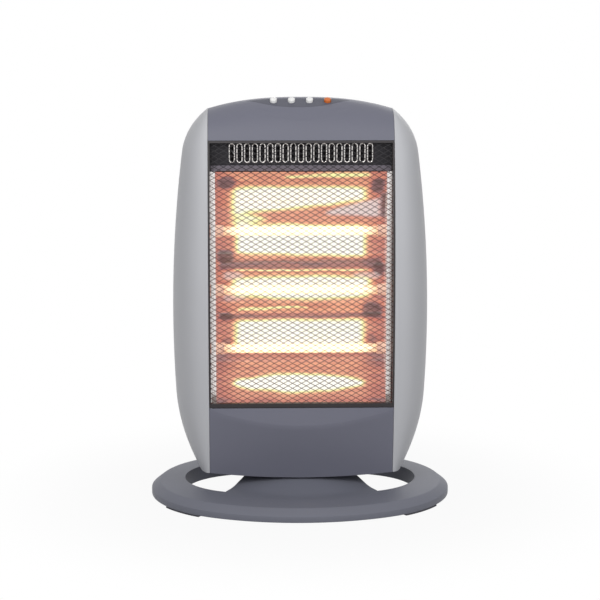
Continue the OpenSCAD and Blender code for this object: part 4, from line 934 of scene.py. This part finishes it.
net, given = new_tree("woven_wire_guard", "cell_x cell_z low wire weave front radius waist", "rows columns")
cell = add(net, "ShaderNodeCombineXYZ", {"X": given["cell_x"], "Z": given["cell_z"]})
slant = add(net, "ShaderNodeVectorMath", {0: cell, "Scale": 1 / points_a_cell}, operation="SCALE")
points = add(net, "ShaderNodeMath", {0: given["rows"], 1: points_a_cell, 2: 1.0}, operation="MULTIPLY_ADD")
line = add(net, "GeometryNodeMeshLine", {"Count": points, "Offset": slant})
wires = add(net, "ShaderNodeMath", {0: given["rows"], 1: given["columns"]})
wires_1 = add(net, "ShaderNodeMath", {0: wires, 1: 1.0})
half = add(net, "ShaderNodeMath", {0: given["columns"], 1: 0.5}, operation="MULTIPLY")
half_w_net = add(net, "ShaderNodeMath", {0: half, 1: given["cell_x"]}, operation="MULTIPLY")
cells_left = add(net, "ShaderNodeMath", {0: half, 1: given["rows"]})
start_x = add(net, "ShaderNodeMath", {0: cells_left, 1: given["cell_x"]}, operation="MULTIPLY")
left = add(net, "ShaderNodeMath", {0: start_x, 1: -1.0}, operation="MULTIPLY")
first = add(net, "ShaderNodeCombineXYZ", {"X": left, "Z": given["low"]})
pitch = add(net, "ShaderNodeCombineXYZ", {"X": given["cell_x"]})
starts = add(net, "GeometryNodeMeshLine", {"Count": wires_1, "Start Location": first, "Offset": pitch})
laid = add(net, "GeometryNodeInstanceOnPoints", {"Points": starts, "Instance": line})
family = add(net, "GeometryNodeRealizeInstances", {0: laid})
other = add(net, "GeometryNodeTransform", {"Geometry": family, "Scale": (-1.0, 1.0, 1.0)})
print("diamonds of", round(cell_x, 2), "by", round(cell_z, 2), "mm")

# %% [markdown]
# ## Wire guard: weave, bend and cut
# The two families wave against each other, one crossing to the half wave, so each wire passes over one
# neighbour and under the next. Then every point moves back to the curve of the front, an arc of the given
# radius about the waist, and the points beyond the frame are deleted.

# %% Wire guard: weave, bend and cut
axes = add(net, "ShaderNodeSeparateXYZ", {0: add(net, "GeometryNodeInputPosition")})
from_side = add(net, "ShaderNodeMath", {0: axes.outputs["X"], 1: half_w_net})
waves = add(net, "ShaderNodeMath", {0: from_side, 1: given["cell_x"]}, operation="DIVIDE")
angle = add(net, "ShaderNodeMath", {0: waves, 1: 2 * math.pi}, operation="MULTIPLY")
wave = add(net, "ShaderNodeMath", {0: angle}, operation="COSINE")
over_under = add(net, "ShaderNodeMath", {0: wave, 1: given["weave"]}, operation="MULTIPLY")
off = add(net, "ShaderNodeMath", {0: axes.outputs["Z"], 1: given["waist"]}, operation="SUBTRACT")
off_2 = add(net, "ShaderNodeMath", {0: off, 1: 2.0}, operation="POWER")
r_2 = add(net, "ShaderNodeMath", {0: given["radius"], 1: 2.0}, operation="POWER")
rest = add(net, "ShaderNodeMath", {0: r_2, 1: off_2}, operation="SUBTRACT")
root = add(net, "ShaderNodeMath", {0: rest}, operation="SQRT")
deep = add(net, "ShaderNodeMath", {0: given["front"], 1: given["radius"]})
bow = add(net, "ShaderNodeMath", {0: deep, 1: root}, operation="SUBTRACT")
outside = add(net, "ShaderNodeMath", {0: axes.outputs["X"]}, operation="ABSOLUTE")
limit = add(net, "ShaderNodeMath", {0: half_w_net, 1: slack})
beyond = add(net, "ShaderNodeMath", {0: outside, 1: limit}, operation="GREATER_THAN")
both = []
for lines, sign in ((family, 1.0), (other, -1.0)):
    turn = add(net, "ShaderNodeMath", {0: over_under, 1: sign, 2: bow}, operation="MULTIPLY_ADD")
    shift = add(net, "ShaderNodeCombineXYZ", {"Y": turn})
    trimmed = add(net, "GeometryNodeDeleteGeometry", {0: lines, 1: beyond})
    both.append(add(net, "GeometryNodeSetPosition", {"Geometry": trimmed, "Offset": shift}))
print("nodes so far:", len(net.nodes))

# %% [markdown]
# ## Wire guard: round wires
# A six-sided section swept along every line makes the wires. Each is thinner than a pixel, so more sides
# would not show, and the net stays light.

# %% Wire guard: round wires
curves = add(net, "GeometryNodeMeshToCurve", {0: add(net, "GeometryNodeJoinGeometry", {0: both})})
thin = add(net, "ShaderNodeMath", {0: given["wire"], 1: 0.5}, operation="MULTIPLY")
section = add(net, "GeometryNodeCurvePrimitiveCircle", {"Resolution": 6, "Radius": thin})
close_tree(net, given, add(net, "GeometryNodeCurveToMesh", {
    "Curve": curves, "Profile Curve": section, "Fill Caps": True}))
guard = run_tree(points_piece("woven_guard", [(0, 0, 0)], wire_enamel), net, smooth=60, rows=diamonds_z,
                 columns=diamonds_x, mm=dict(cell_x=cell_x, cell_z=cell_z, low=net_low, wire=wire_d,
                                             weave=weave, front=net_depth - front_y,
                                             radius=front_r - net_depth, waist=waist_z))
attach(guard, heater)
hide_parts("guard_net")
print("wires:", 2 * (diamonds_x + diamonds_z + 1))

# %% [markdown]
# ## Glowing coils
# Inside each tube hangs a coil of tungsten wire with a straight lead at each end. A spiral curve with a
# thin section swept along it gives the turns, and the lead is one bar through the middle of the coil. The
# tree puts the same coil on the three tube places.

# %% Glowing coils
tube_z, tube_pitch, tube_y, tube_len, coil_d, cap_end = 233, 64.5, 28, 180, 3.2, 98
coil_len, turn_pitch, coil_wire = tube_len - 20, 1.4, 0.5
coil, given = new_tree("tungsten_coil", "length turns radius wire lead")
spiral = add(coil, "GeometryNodeCurveSpiral", {
    "Resolution": 9, "Rotations": given["turns"], "Height": given["length"],
    "Start Radius": given["radius"], "End Radius": given["radius"]})
section = add(coil, "GeometryNodeCurvePrimitiveCircle", {"Resolution": 5, "Radius": given["wire"]})
wound = add(coil, "GeometryNodeCurveToMesh", {"Curve": spiral, "Profile Curve": section, "Fill Caps": True})
down = add(coil, "ShaderNodeMath", {0: given["length"], 1: -0.5}, operation="MULTIPLY")
centre = add(coil, "ShaderNodeCombineXYZ", {"Z": down})
centred = add(coil, "GeometryNodeTransform", {"Geometry": wound, "Translation": centre})
bar = add(coil, "GeometryNodeMeshCylinder", {"Vertices": 12, "Radius": given["wire"],
                                             "Depth": given["lead"]})
joined = add(coil, "GeometryNodeJoinGeometry", {0: [centred, bar]})
laid = add(coil, "GeometryNodeTransform", {"Geometry": joined, "Rotation": (0, math.pi / 2, 0)})
close_tree(coil, given, add(coil, "GeometryNodeInstanceOnPoints", {"Points": given["Geometry"],
                                                                   "Instance": laid}))
tube_places = [(0, -tube_y, tube_z + k * tube_pitch) for k in (-1, 0, 1)]
coils = run_tree(points_piece("glowing_coils", tube_places, hot_wire), coil, turns=coil_len / turn_pitch,
                 mm=dict(length=coil_len, radius=(coil_d - coil_wire) / 2, wire=coil_wire / 2,
                         lead=2 * cap_end))
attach(coils, heater)
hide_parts("coil_upper", "coil_middle", "coil_lower")
print("turns in a coil:", round(coil_len / turn_pitch))

# %% [markdown]
# ## Trough reflector
# One bright sheet is bent into three troughs with two ridges between the tubes and a slanted wall at each
# end. The bends of a real sheet have a radius, so each corner of the profile is rounded before the
# profile is drawn out across the heater.

# %% Trough reflector
def rounded_line(points, radius, count=5):
    """An open line of 2D points with each corner replaced by count points of a curve."""
    made = [points[0]]
    for a, b, c in zip(points, points[1:], points[2:]):
        a, b, c = Vector(a), Vector(b), Vector(c)
        start = b + (a - b).normalized() * radius
        end = b + (c - b).normalized() * radius
        made += [tuple(start * (1 - u) ** 2 + b * 2 * u * (1 - u) + end * u ** 2)
                 for u in steps(0, 1, count - 1)]
    return made + [points[-1]]

field_low, field_high, field_front, trough_floor, trough_slope = 110, 363, 44, 12, 42
ridge_front, ridge_offset, ridge_half, field_w, bend_r = 25, 27, 10, 184, 4
# A sheet of 0.8 mm, measured along y, where its slanting walls are thicker
sheet_y = 1.3 * 0.8
bends = [(-field_front, field_high), (-trough_floor, field_high - trough_slope)]
for s in (1, -1):
    middle = tube_z + s * ridge_offset
    bends += [(-trough_floor, middle + ridge_half), (-ridge_front, middle),
              (-trough_floor, middle - ridge_half)]
bends += [(-trough_floor, field_low + trough_slope), (-field_front, field_low)]
trough = wall_of("bright_trough_reflector", lambda bend, x, off: (x, bend[0] + off, bend[1]),
                 rounded_line(bends, bend_r), steps(-field_w / 2 + fit, field_w / 2 - fit, 12), lit_metal,
                 edge=0, depths=(0, sheet_y))
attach(trough, heater)
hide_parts("trough_reflector")
print("bends in the reflector:", len(bends) - 2)

# %% [markdown]
# ## Screws
# Pan-head screws with a cross recess hold the back and the cover of the hub. One tree shapes a screw: a
# flattened ball cut off below, a shank, and two crossing slots taken out by a Boolean. Points say where
# the screws sit, and an angle turns them into the sheet.

# %% Screws
screw, given = new_tree("pan_head_screw", "head rise shank length turn")
scale = add(screw, "ShaderNodeCombineXYZ", {"X": given["head"], "Y": given["head"], "Z": given["rise"]})
ball = add(screw, "GeometryNodeMeshUVSphere", {"Segments": 28, "Rings": 15, "Radius": 1.0})
flat_ball = add(screw, "GeometryNodeTransform", {"Geometry": ball, "Scale": scale})
below = add(screw, "GeometryNodeMeshCube", {"Size": (0.02, 0.02, 0.02)})
below_it = add(screw, "GeometryNodeTransform", {"Geometry": below, "Translation": (0, 0, -0.01)})
recess_w, recess_l = 0.24, 1.15
cross_w = add(screw, "ShaderNodeMath", {0: given["head"], 1: recess_w}, operation="MULTIPLY")
cross_l = add(screw, "ShaderNodeMath", {0: given["head"], 1: recess_l}, operation="MULTIPLY")
up = add(screw, "ShaderNodeCombineXYZ", {"Z": given["rise"]})
slots = [below_it]
for x, y in ((cross_w, cross_l), (cross_l, cross_w)):
    size = add(screw, "ShaderNodeCombineXYZ", {"X": x, "Y": y, "Z": given["rise"]})
    arm = add(screw, "GeometryNodeMeshCube", {"Size": size})
    slots.append(add(screw, "GeometryNodeTransform", {"Geometry": arm, "Translation": up}))
head = add(screw, "GeometryNodeMeshBoolean", {
    "Mesh 1": flat_ball, "Mesh 2": add(screw, "GeometryNodeJoinGeometry", {0: slots}),
    "Self Intersection": True}, operation="DIFFERENCE", solver="EXACT")
rod = add(screw, "GeometryNodeMeshCylinder", {"Vertices": 20, "Radius": given["shank"],
                                              "Depth": given["length"]})
drop = add(screw, "ShaderNodeMath", {0: given["length"], 1: -0.5}, operation="MULTIPLY")
under = add(screw, "ShaderNodeCombineXYZ", {"Z": drop})
rod_under = add(screw, "GeometryNodeTransform", {"Geometry": rod, "Translation": under})
whole = add(screw, "GeometryNodeJoinGeometry", {0: [head, rod_under]})
turn = add(screw, "ShaderNodeCombineXYZ", {"X": given["turn"]})
close_tree(screw, given, add(screw, "GeometryNodeInstanceOnPoints", {
    "Points": given["Geometry"], "Instance": whole, "Rotation": turn}))

screw_x, seat_y, screw_rows, hub_ring, hub_z = 72, 7.5, (120, 250, 380), 46, 3
back_heads = [(s * screw_x, seat_y, z) for s in (-1, 1) for z in screw_rows]
hub_heads = [(hub_ring * math.cos(a), hub_ring * math.sin(a), hub_z)
             for a in [math.radians(45 + 90 * k) for k in range(4)]]
for name, node_name, body, heads, length, rise, turn_by in (
        ("back_screws", "rear_screws", heater, back_heads, 8.5, 1.6, -math.pi / 2),
        ("hub_screws", "hub_cover_screws", "base", hub_heads, 9, 1.3, math.pi)):
    made = run_tree(points_piece(name, heads, plated), screw, turn=turn_by,
                    mm=dict(head=3, rise=rise, shank=1.5, length=length))
    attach(made, body)
    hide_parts(node_name)
print("screws:", len(back_heads), "in the back and", len(hub_heads), "under the hub")

# %% [markdown]
# ## Base: stacks of outlines
# The base is one moulding: an oval ring with a bevelled rim, two bridges that rise to a collar round the
# swivel, and hollow underneath. It is built as in the source, from a stack of ovals, but with far more
# points and a rounded rim. These helpers draw the outlines and stack them.

# %% Base: stacks of outlines
base_w, base_d, base_ease, rim_h, bevel_w, bevel_h, deck_h, slope_w = 330, 270, 9, 8.5, 9, 15.5, 18, 36
base_wall, window_w, window_d, window_ease, hub_r, foot_h = 3, 256, 168, 12, 58, 1.5
bridge_wide, bridge_narrow, bridge_rear, bridge_from, mouth = 82, 57, 50, 10, 0.39 * window_d
deck_under = deck_h - base_wall

def oval(w, d, ease, inset=0.0, count=360):
    """Two small end arcs and two large ones, which meet without a corner."""
    r = d / 2 - ease
    c = w / 2 - r
    big = (c * c + d * d / 4 - r * r) / (d - 2 * r)
    k, join = big - d / 2, math.atan2(big - d / 2, c)
    points = []
    for a in [2 * math.pi * (n + 0.5) / count for n in range(count)]:
        q = 2 * math.pi - a if a > math.pi else a
        at_end = q <= join or q >= math.pi - join
        reach = (r if at_end else big) - inset
        x, y = (math.copysign(c, math.cos(a)), 0) if at_end else (0, -math.copysign(k, math.sin(a)))
        points.append((x + reach * math.cos(a), y + reach * math.sin(a)))
    return points

def disc(r, count=96):
    turns = [2 * math.pi * k / count for k in range(count)]
    return [(r * math.cos(a), r * math.sin(a)) for a in turns]

def stacked(name, rings):
    """A solid from rings of 2D points at rising heights."""
    n, m = len(rings[0][0]), len(rings)
    points = [(x, y, z) for ring, z in rings for x, y in ring]
    faces = [tuple(range(n))[::-1], tuple((m - 1) * n + i for i in range(n))]
    faces += [(j * n + i, j * n + (i + 1) % n, (j + 1) * n + (i + 1) % n, (j + 1) * n + i)
              for j in range(m - 1) for i in range(n)]
    return new_piece(name, points, faces, base_abs)

def column(name, outline, low, high, at=(0, 0)):
    ring = [(x + at[0], y + at[1]) for x, y in outline]
    return stacked(name, [(ring, low), (ring, high)])
print("points in the base's outline:", len(oval(base_w, base_d, base_ease)))

# %% [markdown]
# ## Base: ring, hollow and windows
# A wide oval opens the ring. The hub and the bridges are cut out of the tool that makes this opening, so
# they are left standing between its two windows. The same tool, grown by the wall's thickness, is taken
# from the hollow, so that a wall stays round each window. Over the four feet the hollow leaves a pad.

# %% Base: ring, hollow and windows
def window_tool(grow, low, high):
    """The two windows as one tool between two heights, grown by grow mm on every side."""
    tool = column("window_tool", oval(window_w + 2 * grow, window_d + 2 * grow, window_ease), low, high)
    carve(tool, column("hub", disc(hub_r - grow, 192), low - 1, high + 1))
    narrow, wide, rear = bridge_narrow - grow, bridge_wide - grow, bridge_rear - grow
    front = [(narrow, bridge_from), (narrow, -bridge_from), (wide, -mouth), (wide, -window_d)]
    carve(tool, column("bridge", [(-x, y) for x, y in front] + front[::-1], low - 1, high + 1))
    return carve(tool, column("bridge", [(-narrow, 0), (narrow, 0), (rear, window_d), (-rear, window_d)],
                              low - 1, high + 1))

# Each pair is an inset from the outline and a height
rim = [(0.7, foot_h), (0.2, foot_h + 0.2), (0.0, foot_h + 0.8), (0.0, 7.7), (0.15, 8.35), (0.7, 9.0),
       (8.3, 14.9), (9.0, 15.35), (9.9, 15.55), (slope_w - 1, deck_h - 0.1), (slope_w + 1, deck_h)]
inside = [(base_wall, foot_h - 1), (base_wall, rim_h - base_wall / 2),
          (bevel_w + base_wall / 2, bevel_h - base_wall), (slope_w, deck_under)]
base = stacked("slate_base", [(oval(base_w, base_d, base_ease, inset), z) for inset, z in rim])
hollow = stacked("hollow", [(oval(base_w, base_d, base_ease, inset, 180), z) for inset, z in inside])
carve(hollow, window_tool(base_wall, -2, deck_h + 2))
end_r, pad_in, pad_out, degrees = base_d / 2 - base_ease, 13, 1, list(range(31, 56, 4))
for side in (-1, 1):
    for front in (-1, 1):
        pad = [(side * (base_w / 2 - end_r + r * math.cos(math.radians(q))),
                front * r * math.sin(math.radians(q)))
               for r, order in ((end_r + pad_out, 1), (end_r - pad_in, -1)) for q in degrees[::order]]
        carve(hollow, column("pad", pad[::side * front], -3, rim_h))
carve(base, hollow)
print("faces of the ring so far:", len(base.data.polygons))

# %% [markdown]
# ## Base: hub, collar and slot
# In the middle the deck rises to a rounded collar. The rise starts softly, as a real moulding does, and
# it is hollow too. Then come the boss and the bore of the pivot, the four posts with the pilot holes of
# their screws, and the slot for the crank's pin.

# %% Base: hub, collar and slot
collar_top, collar_r, rise_r, soft, fine = 27.8, 49, 88, 8, 240
boss_r, bore_r, post_r, pilot_r = 6.4, 4.06, 4.5, 1.6
pitch = (collar_top - deck_h) / (rise_r - collar_r - base_wall)
blend = [(r, deck_h + pitch * (rise_r + soft - r) ** 2 / (4 * soft))
         for r in steps(rise_r + soft, rise_r - soft, 8)]
crest = [(collar_r + out, collar_top - down)
         for out, down in ((4.6, 0.62), (3.9, 0.36), (3.2, 0.16), (2.4, 0.04), (1.6, 0))]
rise = stacked("rise", [(disc(r, fine), z) for r, z in [(rise_r + soft, deck_h - 1)] + blend + crest])
carve(rise, column("well", disc(collar_r, fine), deck_under, collar_top + 1))
carve(base, rise, "UNION")
under = stacked("under", [(disc(rise_r, fine), deck_under - 1), (disc(rise_r, fine), deck_under),
                          (disc(collar_r + base_wall, fine), collar_top - base_wall)])
carve(under, column("core", disc(collar_r + base_wall - 0.01, fine), deck_under - 2, collar_top))
carve(under, window_tool(base_wall, 0, collar_top))
carve(base, under)
carve(base, column("boss", disc(boss_r), deck_under - 2.5, deck_under + 1), "UNION")
for x, y, z in hub_heads:
    carve(base, column("post", disc(post_r, 32), 5, deck_under + 1, (x, y)), "UNION")
carve(base, window_tool(0, -2, collar_top + 2))
carve(base, column("bore", disc(bore_r), -1, deck_h + 2))
crank_r, pin_d, slot_side, slot_y = 13.86, 5, 1.3, -24.5
slot_r, reach = pin_d / 2 + slot_side, crank_r + pin_d / 2 + 1
slot_line = [(slot_r * math.cos(a), (reach - slot_r) * (1 if a < math.pi else -1) + slot_r * math.sin(a))
             for a in [math.pi * (k + 0.5) / 20 for k in range(40)]]
carve(base, column("slot", slot_line, -1, deck_h + 2, (0, slot_y)))
for x, y, z in hub_heads:
    carve(base, column("pilot", disc(pilot_r, 24), -1, deck_under - 1, (x, y)))
finish_mesh(base, 25)
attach(base, "base")
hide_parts("base_ring")
print("base faces:", len(base.data.polygons))

# %% [markdown]
# ## Finishes of the CAD pieces
# The other pieces keep their CAD meshes, whose shapes are right as they are, and each gets the finish of
# the real part.

# %% Finishes of the CAD pieces
finishes = {
    foot_rubber: ["rubber_feet"],
    black_pp: ["hub_cover", "cord_gland", "thermal_cutout", "switch_bank"],
    natural_nylon: ["glide_ring", "tilt_switch", "terminal_block"],
    slate_abs: ["bottom_tray", "rear_posts", "handle_cup"],
    plated: ["pivot_bolt", "pivot_washer", "pivot_nut", "motor_screws", "chassis_screws", "bracket_screws"],
    galvanised: ["swivel_motor", "crank", "chassis_leg_left", "chassis_leg_right", "tube_bracket_left",
                  "tube_bracket_right", "switch_bracket"],
    frame_enamel: ["guard_frame"],
    # The heat shield is enamelled black so the inside seen through the vent's slots is dark: partly its own
    # finish, partly painted shade
    panel_enamel: ["heat_shield"],
    bright_metal: ["reflector_apron", "reflector_side_left", "reflector_side_right"],
    quartz: ["tube_upper", "tube_middle", "tube_lower"],
    steatite: ["ceramic_caps"],
    sleeve: ["inner_wiring"]}
for finish, names in finishes.items():
    for name in names:
        nodes[name].data.materials.clear()
        nodes[name].data.materials.append(finish)
left = [n for n, o in nodes.items() if not o.hide_render and o.data.materials[0] not in finishes]
print("CAD pieces kept:", sum(len(names) for names in finishes.values()), "without a finish:", left)
